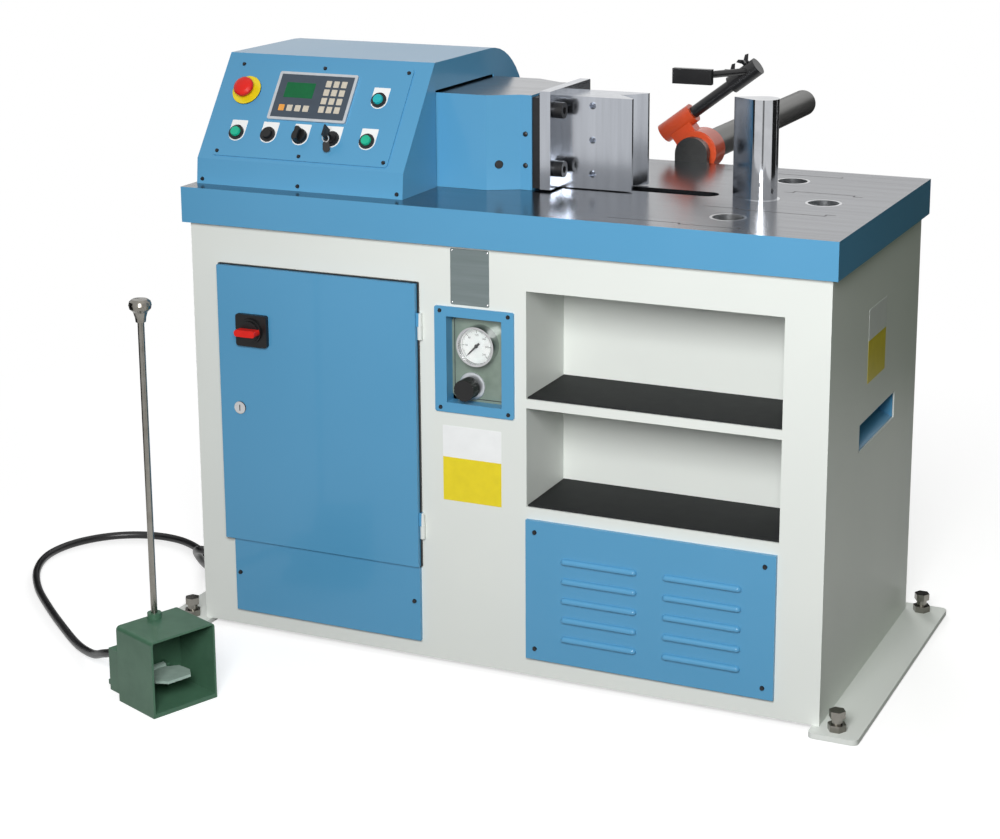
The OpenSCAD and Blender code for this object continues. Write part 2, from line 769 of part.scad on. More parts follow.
module switch_bezels() {
    color(bright) place() {
        for (p = bezel_spots) {
            on_slope(p, panel_thick) ring(15, 10.05, bezel_h);
            on_slope(p, panel_thick - 40) ring(11, 10.05, 40);
        }
        on_slope(estop_at, panel_thick) ring(30, 10.05, 2);
        on_slope(estop_at, panel_thick - 40) ring(11, 10.05, 40);
    }
}

module emergency_stop() {
    color([0.85, 0.1, 0.08]) place() on_slope(estop_at, panel_thick) {
        translate([0, 0, -34]) cylinder(r = 10, h = 46, $fn = 48);
        translate([0, 0, 10]) rotate_extrude($fn = 64) polygon(concat([[0, 0], [17, 0], [20, 4]],
            [for (a = [0 : 15 : 90]) [20 * cos(a), 7 + 8 * sin(a)]]));
    }
}

module push_button(at, r) {
    on_slope(at, panel_thick) {
        translate([0, 0, -34]) cylinder(r = 10, h = 34 + bezel_h + 1, $fn = 48);
        translate([0, 0, bezel_h + 1]) cylinder(r1 = r, r2 = r - 1, h = 4, $fn = 48);
    }
}

module start_button() {
    color([0.1, 0.6, 0.4]) place() push_button(start_at, 10);
}

module jog_button() {
    color(black) place() push_button(jog_at, 10);
}

module cycle_button() {
    color([0.1, 0.6, 0.4]) place() push_button(cycle_at, 10);
}

module reset_button() {
    color([0.1, 0.55, 0.5]) place() push_button(reset_at, 10);
}

module mode_selector() {
    color(black) place() on_slope(selector_at, panel_thick) {
        translate([0, 0, -34]) cylinder(r = 10, h = 34 + bezel_h, $fn = 48);
        translate([0, 0, bezel_h + gap]) {
            cylinder(r = 14, h = 5, $fn = 48);
            linear_extrude(16) rounded(9, 27, 3);
        }
        translate([0, 0, bezel_h - 1]) cylinder(r = 9, h = 2, $fn = 48);
    }
}

module key_switch() {
    color(bright) place() on_slope(key_at, panel_thick) {
        translate([0, 0, -34]) cylinder(r = 10, h = 34 + bezel_h + 3, $fn = 48);
        translate([-1.2, -4, bezel_h + 3]) cube([2.4, 8, 10]);
        translate([-1.2, -11, bezel_h + 13]) cube([2.4, 22, 22]);
    }
}

// ---- Hydraulic cylinder ----
module cylinder_barrel() {
    color([0.2, 0.22, 0.24]) place() difference() {
        union() {
            rod_x(barrel_x0, axis_y, ram_axis_z, barrel_r, barrel_x1 - barrel_x0);
            block([barrel_x1, axis_y - 75, table_top], [barrel_x1 + 32, axis_y + 75, ram_axis_z + 75]);
            block([barrel_x0 - 28, axis_y - 75, table_top], [barrel_x0, axis_y + 75, ram_axis_z + 75]);
        }
        rod_x(barrel_x0, axis_y, ram_axis_z, barrel_r - barrel_wall, barrel_x1 - barrel_x0);
        rod_x(barrel_x1 - 1, axis_y, ram_axis_z, rod_r + 0.05, 40);
    }
}

module piston_rod() {
    color(bright) place() {
        rod_x(barrel_x0 + 6, axis_y, ram_axis_z, barrel_r - barrel_wall - gap, 26);
        rod_x(barrel_x0 + 32, axis_y, ram_axis_z, rod_r, ram_x0 - barrel_x0 - 32);
    }
}

// ---- Ram ----
module ram_block() {
    w = ram_width / 2;
    n = w - 32;
    hole_x = ram_x1 - 58;
    color(blue) place() difference() {
        translate([0, axis_y, ram_z0]) linear_extrude(ram_height)
            polygon([[ram_x0, -w], [ram_x1 - 78, -w], [ram_x1 - 23, -n], [ram_x1, -n],
                [ram_x1, n], [ram_x1 - 23, n], [ram_x1 - 78, w], [ram_x0, w]]);
        translate([hole_x, axis_y - w + 12, ram_z0 + 48]) rotate([90, 0, 30])
            translate([0, 0, -14]) cylinder(r = 8, h = 40, $fn = 48);
        block([ram_x0 - 1, axis_y - slot_width / 2 + 2, ram_z0 - 1],
            [ram_x1 + 1, axis_y + slot_width / 2 - 2, ram_z0 + 8]);
    }
}

module guide_key() {
    w = slot_width / 2 - gap;
    color(steel) place() {
        block([key_x0, axis_y - w, table_top - slot_depth + 2], [key_x1, axis_y + w, table_top - 1]);
        block([key_x0, axis_y - w + 2, table_top - 1], [ram_x1 - 2, axis_y + w - 2, ram_z0 + 8]);
    }
}

module backing_plates() {
    color([0.18, 0.18, 0.2]) place() {
        block([ram_x1, axis_y - 90, ram_z0 + 4], [ram_x1 + back_t, axis_y + 90, ram_z1 - 4]);
        block([ram_x1 + back_t, axis_y - 93, ram_z0 + 4],
            [ram_x1 + back_t + shim_t, axis_y + 93, ram_z1 + 2]);
    }
}

bolt_spots = [for (y = [-1, 1], z = [-1, 1]) [axis_y + y * bolt_y, (flange_z0 + flange_z1) / 2 + z * bolt_z]];

module die_flange() {
    color(bright) place() difference() {
        block([flange_x0, axis_y - flange_w / 2, flange_z0], [flange_x1, axis_y + flange_w / 2, flange_z1]);
        for (b = bolt_spots) rod_x(flange_x0 - 1, b[0], b[1], 9.3, flange_t + 2);
    }
}

module flange_bolts() {
    color(black) place() for (b = bolt_spots) translate([flange_x1, b[0], b[1]]) rotate([0, 90, 0]) {
        cap_screw(15, 18, flange_t);
    }
}

module die_holder() {
    color(bright) place() difference() {
        block([flange_x1, axis_y - die_width / 2, die_z0], [holder_x1, axis_y + die_width / 2, die_z1]);
        block([holder_x1 - tang_len, axis_y - tang_w / 2, die_z0 - 1],
            [holder_x1 + 1, axis_y + tang_w / 2, die_z1 + 1]);
        for (z = [28, 92, 156]) rod_y(holder_x1 - 10, axis_y - die_width / 2 - 1, die_z0 + z,
            6.5, die_width / 2 - tang_w / 2 + 1);
    }
}

module vee_die() {
    w = die_width / 2;
    relief = 2;
    color(bright) place() translate([0, axis_y, die_z0]) difference() {
        linear_extrude(die_z1 - die_z0) polygon([[holder_x1, -w], [die_x1, -w],
            [die_x1, -vee_depth], [die_x1 - vee_depth, 0], [die_x1, vee_depth], [die_x1, w],
            [holder_x1, w], [holder_x1, tang_w / 2], [holder_x1 - tang_len + gap, tang_w / 2],
            [holder_x1 - tang_len + gap, -tang_w / 2], [holder_x1, -tang_w / 2]]);
        translate([die_x1 - vee_depth, 0, -1]) cylinder(r = relief, h = die_z1 - die_z0 + 2, $fn = 48);
    }
}

// ---- Back gauge ----
module gauge_bar() {
    color(steel) place() {
        rod_y(bar_x, table_depth + 14, bar_z, bar_r, bar_len - 14);
        translate([bar_x, table_depth + 14, 0]) rotate([90, 0, 0]) linear_extrude(14) {
            translate([-bar_r - 4, table_under + 2]) square([2 * bar_r + 8, bar_z - table_under - 2]);
            translate([0, bar_z]) circle(bar_r + 4, $fn = 64);
        }
    }
}

// Along the arm: local Z is the arm's axis, local X points to the bar, local Y along it
module on_arm(t = 0) {
    translate([bar_x, collar_y, bar_z]) rotate([0, 90 - arm_tilt, 0])
        translate([-arm_off, 0, t]) children();
}

module gauge_collar() {
    color(orange) place() difference() {
        union() {
            rod_y(bar_x, collar_y - collar_len / 2, bar_z, collar_r, collar_len);
            on_arm(arm_from - 5) cylinder(r = arm_r + 8, h = 78, $fn = 64);
            on_arm(arm_from + 10) translate([0, -16, 0]) cube([arm_off - bar_r - 6, 32, 50]);
        }
        rod_y(bar_x, collar_y - collar_len / 2 - 1, bar_z, bar_r + 0.05, collar_len + 2);
        on_arm(arm_from) cylinder(r = arm_r + 0.05, h = 80, $fn = 64);
    }
}

module gauge_arm() {
    color(black) place() on_arm(arm_from) difference() {
        cylinder(r = arm_r, h = arm_to - arm_from, $fn = 64);
        translate([0, 0, 4]) cylinder(r = arm_r - 2.5, h = arm_to - arm_from, $fn = 64);
    }
}

head_r = arm_r + 6;
stop_rod_r = 7;
screw_r = 4;
arm_screw_at = arm_to - 18;

module gauge_head() {
    color(black) place() difference() {
        on_arm(arm_to - 34) cylinder(r = head_r, h = 68, $fn = 64);
        on_arm(arm_to - 35) cylinder(r = arm_r + 0.05, h = 37, $fn = 64);
        on_arm(rod_at) stop_axis() translate([0, 0, -60])
            cylinder(r = stop_rod_r + 0.05, h = 120, $fn = 48);
        for (t = [arm_screw_at, rod_at]) on_arm(t) rotate([0, -90, 0])
            cylinder(r = screw_r + 0.05, h = head_r + 5, $fn = 48);
    }
}

// A screw whose tip lies the distance r from the axis that it clamps
module wing_screw(r) {
    translate([0, 0, r]) cylinder(r = screw_r, h = head_r - r + 2, $fn = 48);
    translate([0, 0, head_r + gap]) cylinder(r = 7, h = 8, $fn = 48);
    rotate([90, 0, 0]) translate([0, head_r + gap, -2]) linear_extrude(4)
        polygon([[-5, 1], [5, 1], [15, 13], [9, 15], [0, 8], [-9, 15], [-15, 13]]);
}

module arm_screw() {
    color(black) place() on_arm(arm_screw_at) rotate([0, -90, 0]) wing_screw(arm_r + gap);
}

// The stop rod leans against the screw's axis, so the tip stops where its edge clears the rod
module rod_screw() {
    lean = asin(sin(rod_turn) * sin(arm_tilt));
    color(black) place() on_arm(rod_at) rotate([0, -90, 0])
        wing_screw((stop_rod_r + screw_r * sin(lean)) / cos(lean) + gap);
}

// Turns from the arm's axes to the stop rod, which lies level and runs forward
module stop_axis() {
    rotate([0, -(90 - arm_tilt), 0]) rotate([0, 0, -rod_turn]) rotate([90, 0, 0]) children();
}

module stop_rod() {
    color(black) place() on_arm(rod_at) stop_axis() {
        translate([0, 0, -24]) cylinder(r = stop_rod_r, h = stop_rod_len, $fn = 48);
        translate([0, 0, stop_rod_len - 24]) rotate([-90, 0, 0]) rotate([0, 0, rod_turn])
            translate([-40, -7, -15]) cube([80, 14, 30]);
    }
}

// ---- Foot pedal ----
module on_pedal() {
    translate([pedal_x, pedal_y, 0]) rotate([0, 0, pedal_turn]) children();
}

module pedal_housing() {
    w = pedal_w / 2;
    t = pedal_wall;
    color(green) place() on_pedal() difference() {
        union() {
            translate([-pedal_d, 0, 0]) rotate([90, 0, 90]) linear_extrude(pedal_d) {
                translate([-w, 0]) square([pedal_w, pedal_h - 8]);
                translate([-w + 8, 0]) square([pedal_w - 16, pedal_h]);
                for (s = [-1, 1]) translate([s * (w - 8), pedal_h - 8]) circle(8, $fn = 48);
            }
            translate([-pedal_d - rear_d, -rear_w / 2, 0]) cube([rear_d, rear_w, rear_h]);
            translate([-pedal_d - rear_d - 24, -rear_w / 2 + 12, 0]) cube([24, rear_w - 24, 9]);
            translate([-pedal_d + 14, 5, pedal_h - 2]) cylinder(r = 13, h = 12, $fn = 48);
        }
        translate([-pedal_d + t, -w + t, t + 4]) cube([pedal_d, pedal_w - 2 * t, pedal_h - 2 * t - 4]);
        translate([-pedal_d + 14, 5, pedal_h - 8]) cylinder(r = 6.05, h = 30, $fn = 48);
    }
    color(green) place() on_pedal() for (s = [-1, 1])
        translate([pedal_pin_x - 9, s > 0 ? 22 : -27, t + 3]) cube([18, 5, pedal_pin_z - t + 5]);
    color(bright) place() on_pedal() translate([pedal_pin_x, -27.5, pedal_pin_z]) rotate([-90, 0, 0])
        cylinder(r = 4, h = 55, $fn = 48);
}

module pedal_treadle() {
    l = pedal_d - 30;
    color(green) place() on_pedal() translate([pedal_pin_x, 0, pedal_pin_z]) difference() {
        union() {
            rotate([90, 0, 0]) cylinder(r = 8, h = 42, center = true, $fn = 48);
            rotate([0, -4, 0]) translate([0, 0, -3]) linear_extrude(5)
                polygon([[0, -20], [12, -20], [24, -38], [l - 22, -38], [l, -24], [l, 24],
                    [l - 22, 38], [24, 38], [12, 20], [0, 20]]);
        }
        rotate([90, 0, 0]) cylinder(r = 4.05, h = 60, center = true, $fn = 48);
    }
}

module carrying_rod() {
    color(bright) place() on_pedal() translate([-pedal_d + 14, 5, 0]) {
        translate([0, 0, pedal_h - 8]) cylinder(r = 6, h = carry_top - pedal_h + 8, $fn = 48);
        translate([0, 0, carry_top]) rotate_extrude($fn = 64)
            polygon([[0, 0], [9, 0], [10, 8], [13, 18], [19, 24], [20.5, 31], [19, 37], [14, 41], [0, 42]]);
    }
}

// Nuts that the cable enters: one on the cabinet's left side, one on the pedal's rear box
module cable_glands() {
    color(black) place() {
        rod_x(-cab_x - gland_len, gland_y, gland_z, gland_r, gland_len + sheet + 14);
        translate([-cab_x - 9, gland_y, gland_z]) rotate([0, 90, 0]) cylinder(r = gland_r + 5, h = 9, $fn = 6);
        on_pedal() translate([cable_exit[0], cable_exit[1], cable_exit[2]]) rotate([0, -90, 0]) {
            cylinder(r = gland_r, h = 16, $fn = 48);
            cylinder(r = gland_r + 3, h = 7, $fn = 6);
        }
    }
}

// Points between the chosen ones, on a smooth curve through them
function smooth(p, k) = [for (i = [0 : len(p) - 2], j = [0 : k - 1])
    let (a = p[max(i - 1, 0)], b = p[i], c = p[i + 1], d = p[min(i + 2, len(p) - 1)], t = j / k)
    0.5 * (2 * b + (c - a) * t + (2 * a - 5 * b + 4 * c - d) * t * t + (3 * b - a - 3 * c + d) * t * t * t),
    p[len(p) - 1]];

module tube(path, r, sides) {
    n = len(path);
    rings = [for (i = [0 : n - 1])
        let (d = path[min(i + 1, n - 1)] - path[max(i - 1, 0)], t = d / norm(d),
            s = cross(t, [0, 0, 1]) / norm(cross(t, [0, 0, 1])), u = cross(s, t))
        for (k = [0 : sides - 1]) path[i] + r * (cos(360 * k / sides) * s + sin(360 * k / sides) * u)];
    faces = concat([[for (k = [0 : sides - 1]) k]],
        [for (i = [0 : n - 2], k = [0 : sides - 1])
            [i * sides + k, (i + 1) * sides + k, (i + 1) * sides + (k + 1) % sides, i * sides + (k + 1) % sides]],
        [[for (k = [sides - 1 : -1 : 0]) (n - 1) * sides + k]]);
    polyhedron(rings, faces, convexity = 8);
}

module foot_cable() {
    color(black) place() tube(smooth(cable_route, 3), cable_r, 10);
}

table_slab();
post_bushes();
bending_post();
front_frame();
cabinet_body();
rear_panel();
niche_box();
niche_mats();
foot_bars();
levelling_bolts();
lifting_pockets();
lower_cover();
louvred_cover();
cover_screws();
gauge_frame();
gauge_plate();
gauge_case();
gauge_needle();
regulator_knob();
electrical_door();
hinge_pins();
main_switch_base();
main_switch_handle();
door_lock();
electrical_plate();
oil_tank();
pump_motor();
valve_block();
control_hood();
control_panel();
display_unit();
switch_bezels();
emergency_stop();
start_button();
jog_button();
mode_selector();
key_switch();
cycle_button();
reset_button();
cylinder_barrel();
piston_rod();
ram_block();
guide_key();
backing_plates();
die_flange();
flange_bolts();
die_holder();
vee_die();
gauge_bar();
gauge_collar();
gauge_arm();
gauge_head();
arm_screw();
rod_screw();
stop_rod();
pedal_housing();
pedal_treadle();
carrying_rod();
cable_glands();
foot_cable();
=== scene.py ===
"""Looks of the horizontal press brake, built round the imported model.

A piece is a surface on a grid of two parameters, worked out as whole arrays, or flat
ribbons or figures.
Places are metres: X runs along the table, Y to the back, Z up. The sizes that the
shaping functions take are millimetres.
"""
import math

import bpy
import bmesh
import numpy as np
from mathutils import Matrix, Vector

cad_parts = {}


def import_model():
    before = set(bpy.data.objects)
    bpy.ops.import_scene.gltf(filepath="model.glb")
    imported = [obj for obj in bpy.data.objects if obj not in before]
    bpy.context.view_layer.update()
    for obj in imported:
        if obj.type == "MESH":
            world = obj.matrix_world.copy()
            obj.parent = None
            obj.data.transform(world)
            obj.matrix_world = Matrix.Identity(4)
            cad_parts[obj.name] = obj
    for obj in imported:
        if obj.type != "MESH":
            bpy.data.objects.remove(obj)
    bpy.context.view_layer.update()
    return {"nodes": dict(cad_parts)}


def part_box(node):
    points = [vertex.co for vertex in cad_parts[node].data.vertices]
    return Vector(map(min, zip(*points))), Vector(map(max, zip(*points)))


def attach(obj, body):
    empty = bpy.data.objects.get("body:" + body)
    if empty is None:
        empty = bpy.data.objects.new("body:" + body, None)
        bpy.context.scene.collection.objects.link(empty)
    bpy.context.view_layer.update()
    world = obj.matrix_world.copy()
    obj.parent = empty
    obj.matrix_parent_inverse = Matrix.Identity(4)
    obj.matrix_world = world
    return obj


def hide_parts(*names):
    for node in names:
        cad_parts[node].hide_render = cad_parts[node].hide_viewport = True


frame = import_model()
MM = 0.001

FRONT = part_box("table_slab")[0].y
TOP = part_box("table_slab")[1].z
FRAME_SHEET = 3 * MM
CABINET_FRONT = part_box("front_frame")[1].y - FRAME_SHEET


def put(name, data):
    """Makes an object of the data and puts it in the scene."""
    obj = bpy.data.objects.new(name, data)
    bpy.context.scene.collection.objects.link(obj)
    return obj


# ---------------------------------------------------------------- camera

CAMERA_AT = (1.5733, FRONT - 3.3636, 1.6155)
CAMERA_TURNED, CAMERA_DOWN, CAMERA_ROLLED = 24.736, 13.553, -0.327
SENSOR_MM = 36.0
FOCAL_PER_MILLE = 2138.1
CAMERA_SHIFT = -0.1195
CAMERA_SEES_TO = 60


def camera():
    """Camera 3.36 m in front of the table, right of its end, looking down 13.6 degrees.

    Its axes are right = d x z, up = right x d for the viewing direction d, both then turned
    by the small roll about d. Its focal length is in thousandths of the sensor's width.
    """
    azimuth, elevation, roll = np.radians((CAMERA_TURNED, CAMERA_DOWN, CAMERA_ROLLED)).tolist()
    d = Vector((-math.sin(azimuth) * math.cos(elevation), math.cos(azimuth) * math.cos(elevation),
                -math.sin(elevation)))
    right = d.cross(Vector((0, 0, 1))).normalized()
    up = right.cross(d)
    c, s = math.cos(roll), math.sin(roll)
    right, up = c * right + s * up, -s * right + c * up
    data = bpy.data.cameras.new("camera")
    data.sensor_width = SENSOR_MM
    data.lens = FOCAL_PER_MILLE * SENSOR_MM / 1000
    data.shift_y = CAMERA_SHIFT
    data.clip_end = CAMERA_SEES_TO
    cam = put("camera", data)
    x, y, z = CAMERA_AT
    cam.matrix_world = Matrix(((right.x, up.x, -d.x, x), (right.y, up.y, -d.y, y),
                               (right.z, up.z, -d.z, z), (0, 0, 0, 1)))
    bpy.context.scene.camera = cam


camera()


# ---------------------------------------------------------------- colour and materials

def colour(code):
    """sRGB hex to linear: c / 12.92 below 0.04045, else ((c + 0.055) / 1.055) ** 2.4."""
    c = np.array([int(code[i:i + 2], 16) for i in (0, 2, 4)]) / 255
    c = np.where(c <= 0.04045, c / 12.92, ((c + 0.055) / 1.055) ** 2.4)
    return (*c, 1.0)


def add(tree, kind, inputs=None, **settings):
    """Adds one node: settings are its properties, inputs are values or sockets to link."""
    node = tree.nodes.new(kind)
    for key, value in settings.items():
        setattr(node, key, value)
    for key, value in (inputs or {}).items():
        if isinstance(value, bpy.types.NodeSocket):
            tree.links.new(value, node.inputs[key])
        else:
            node.inputs[key].default_value = value
    return node


def bare_tree(owner):
    """The empty node tree of a new material or world."""
    owner.use_nodes = True
    owner.node_tree.nodes.clear()
    return owner.node_tree


def finish(name, base, patch, patch_mm, rough, rough_range=0.05, grain_mm=0.0, grain_depth=0.0,
           along=(1, 1, 1), **shader):
    """A surface whose colour drifts between two shades and whose grain is a fine bump.

    colour = mix(base, patch, noise at patch_mm), roughness = rough +- rough_range * noise,
    height = noise at grain_mm, drawn out along the axes where `along` is small. Only the
    middle half of the noise's range carries the change of colour.
    """
    mat = bpy.data.materials.new(name)
    tree = bare_tree(mat)
    place = add(tree, "ShaderNodeTexCoord").outputs["Object"]
    drawn = add(tree, "ShaderNodeMapping", {"Vector": place, "Scale": along}).outputs[0]
    cloud = add(tree, "ShaderNodeTexNoise",
                {"Vector": drawn, "Scale": 1000 / patch_mm, "Detail": 4.0}).outputs[0]
    spread = add(tree, "ShaderNodeMapRange", {"Value": cloud, "From Min": 0.25, "From Max": 0.75})
    mixed = add(tree, "ShaderNodeMix", {"Factor": spread.outputs[0]}, data_type="RGBA")
    for socket in mixed.inputs:
        if socket.type == "RGBA":
            socket.default_value = colour(base if socket.name == "A" else patch)
    dull = add(tree, "ShaderNodeMapRange", {"Value": cloud, "To Min": rough - rough_range,
                                           "To Max": rough + rough_range})
    tone = next(s for s in mixed.outputs if s.type == "RGBA")
    inputs = {"Base Color": tone, "Roughness": dull.outputs[0]}
    if grain_mm:
        fine = add(tree, "ShaderNodeTexNoise",
                   {"Vector": drawn, "Scale": 1000 / grain_mm, "Detail": 3.0})
        bump = add(tree, "ShaderNodeBump", {"Height": fine.outputs[0], "Distance": grain_depth * MM,
                                           "Strength": 1.0})
        inputs["Normal"] = bump.outputs[0]
    inputs.update(shader)
    bsdf = add(tree, "ShaderNodeBsdfPrincipled", inputs)
    add(tree, "ShaderNodeOutputMaterial", {"Surface": bsdf.outputs[0]})
    return mat


COAT, COAT_ROUGH, SPECULAR = "Coat Weight", "Coat Roughness", "Specular IOR Level"

# Two-pack machine enamel, sprayed: a gloss film with faint orange peel at about 3 mm
BLUE_ENAMEL = finish("sprayed blue machine enamel", "4f93bb", "5496be", 260, 0.32, 0.04, 3.0, 0.012,
                     **{COAT: 0.22, COAT_ROUGH: 0.08, SPECULAR: 0.3})
# Powder coat on sheet steel: satin, with a finer and deeper peel than enamel
CREAM_COAT = finish("cream powder coat on sheet steel", "dfe3de", "dadeda", 320, 0.42, 0.04,
                    2.2, 0.014, **{SPECULAR: 0.25})
# Enamel over an aluminium casting: the sand skin shows through as 2 mm lumps
GREEN_CASTING = finish("green enamel on a sand casting", "4a7059", "41644f", 40, 0.38, 0.06,
                       2.0, 0.06, **{COAT: 0.12, COAT_ROUGH: 0.2, SPECULAR: 0.25})
# The treadle's enamel, scuffed pale and matt by shoes in patches about a centimetre wide
GREEN_TREAD = finish("green enamel on a worn tread", "a3b8ae", "93a99f", 12, 0.5, 0.08, 1.0, 0.05)
# Enamel over a turned collar: glossy, with a shallow 2 mm ripple
ORANGE_ENAMEL = finish("orange enamel on a turned collar", "dc5226", "d04c26", 60, 0.35, 0.05,
                       2.0, 0.02, **{COAT: 0.3, COAT_ROUGH: 0.1})
# Surface-ground steel: wheel lines run along the table, about 0.4 mm apart, drawn at 1.2 mm
GROUND_STEEL = finish("surface ground steel", "7f8287", "777a7f", 14, 0.20, 0.04, 1.2, 0.003,
                      along=(0.03, 1, 1), Metallic=1.0)
# Steel milled and ground upright, with the grain running down the face
UPRIGHT_STEEL = finish("upright ground tool steel", "b9bdc4", "a8acb3", 16, 0.17, 0.04, 1.0, 0.003,
                       along=(1, 1, 0.04), Metallic=1.0)
# Honed bores: bright, with a fine even scratch that has no direction
BORED_STEEL = finish("bored and honed steel", "dcdee0", "c8cacc", 10, 0.24, 0.06, 0.8, 0.01,
                     Metallic=1.0)
# Polished steel: a near mirror, with no grain that shows
POLISHED_STEEL = finish("polished steel", "c2c4c8", "b4b6ba", 30, 0.10, 0.03, Metallic=1.0)
# Bar stock: dark mill steel with fine lines along the bar, too fine to show, drawn at 0.8 mm
TURNED_STEEL = finish("turned bar", "6e6e6c", "5e5e5c", 20, 0.34, 0.06, 0.8, 0.01,
                      along=(1, 0.05, 1), Metallic=1.0)
# Bright chrome over polished steel: the sharpest mirror on the machine
CHROME = finish("chrome plate", "c4c5c6", "b8b9ba", 25, 0.09, 0.02, Metallic=1.0)
# Chrome over steel, darker and softer than the bright chrome: the dark colour is a painted
# reflection of dark surroundings
DARKENED_CHROME = finish("chrome darkened as painted reflection", "8a8882", "78756e", 20, 0.20, 0.05, Metallic=1.0)
# Barrel zinc plate: pale grey, cloudy at about 8 mm
ZINC = finish("zinc plate", "a9adab", "9a9f9c", 8, 0.30, 0.08, Metallic=1.0)
# Black oxide: nearly black and satin, with a fine etched skin
BLACK_OXIDE = finish("black oxide on steel", "111113", "18181a", 12, 0.40, 0.07, 0.8, 0.01,
                     **{SPECULAR: 0.35})
# Black enamel: a smooth gloss black with a slight ripple
BLACK_PAINT = finish("black enamel", "161617", "1d1d1f", 40, 0.30, 0.05, 2.0, 0.012)
# Cast iron: matt and lumpy from the sand
CAST_IRON = finish("cast iron", "35393c", "2b2f32", 9, 0.55, 0.08, 1.5, 0.05, Metallic=0.3)
# Tank and motor enamel: even satin paint, shut in behind the shelves
TANK_PAINT = finish("dark tank enamel", "3b4146", "42484d", 80, 0.4, 0.05, 3.0, 0.02)
MOTOR_PAINT = finish("motor enamel", "4b6a80", "446175", 60, 0.4, 0.05, 2.0, 0.02)
# Moulded nitrile mat: matt, with a leathery skin at about 1.5 mm
MAT_RUBBER = finish("moulded nitrile mat", "151718", "1c1e1f", 30, 0.66, 0.06, 1.5, 0.05,
                    **{SPECULAR: 0.25})
# Extruded rubber: a dark satin sheath with a faint pebble
HOSE_RUBBER = finish("extruded rubber sheath", "101011", "18181a", 20, 0.34, 0.05, 1.2, 0.015)
# Moulded nylon: black and satin, with the mould's spark texture at about 1 mm
BLACK_NYLON = finish("moulded black nylon", "0c0c0d", "131314", 15, 0.40, 0.06, 1.0, 0.01,
                     **{SPECULAR: 0.35})
# Moulded ABS and polycarbonate: clean bright colours with a smooth soft gloss
RED_ABS = finish("moulded red ABS", "de2219", "d22018", 20, 0.30, 0.04, **{SPECULAR: 0.3})
GREEN_LENS = finish("green polycarbonate lens", "1bb38f", "17a886", 8, 0.24, 0.04,
                    **{SPECULAR: 0.35})
TEAL_LENS = finish("teal polycarbonate lens", "1fb0b6", "1ca4aa", 8, 0.24, 0.04,
                   **{SPECULAR: 0.35})
# Anodised aluminium: pale and even, with a soft sheen
SILVER_ANODISED = finish("silver anodised aluminium", "c4c8cc", "b9bdc1", 10, 0.35, 0.05,
                         Metallic=0.8)
# Etched aluminium: grey and satin, brushed across the plate, drawn at 0.7 mm
PLATE_METAL = finish("etched aluminium plate", "7a8586", "6c7878", 9, 0.36, 0.06, 0.7, 0.006,
                     along=(0.06, 1, 1), Metallic=0.6)
# Hammered enamel: glossy, with dimples about 2.5 mm across
GREY_GREEN = finish("hammered grey-green enamel", "7b8a7e", "6f7e73", 14, 0.34, 0.05, 2.5, 0.03,
                    **{COAT: 0.3, COAT_ROUGH: 0.1})
# Vinyl film: flat colour with a low gloss
WHITE_VINYL = finish("white vinyl film", "eceeee", "e6e8e8", 30, 0.30, 0.04)
YELLOW_VINYL = finish("yellow vinyl film", "e6d21c", "dcc81a", 20, 0.30, 0.04)
# Membrane keypad: a satin film, its window dark green and its printed keys dull
MEMBRANE = finish("dark membrane film", "35424f", "2f3b47", 20, 0.34, 0.04)
LCD_GREEN = finish("green crystal display", "0c5c34", "0e6439", 12, 0.30, 0.03, **{SPECULAR: 0.2})
KEY_PALE = finish("printed pale key", "cfc6b4", "bdb6a8", 2.5, 0.4, 0.05)
KEY_ORANGE = finish("printed orange key", "e8a24a", "dc9640", 3, 0.4, 0.05)
# The gauge's dial, its ink and the table's scribed grooves
DIAL_WHITE = finish("white enamelled dial", "f0f1ef", "e9eae8", 12, 0.35, 0.04)
INK = finish("black print", "141414", "1a1a1a", 5, 0.5, 0.05)
SCRIBED = finish("scribed groove in steel", "141414", "1f1f1f", 5, 0.5, 0.08)
# Clear float glass over the dial
GLASS = finish("gauge glass", "ffffff", "f6fafa", 40, 0.03, 0.01, IOR=1.45,
               **{"Transmission Weight": 1.0})

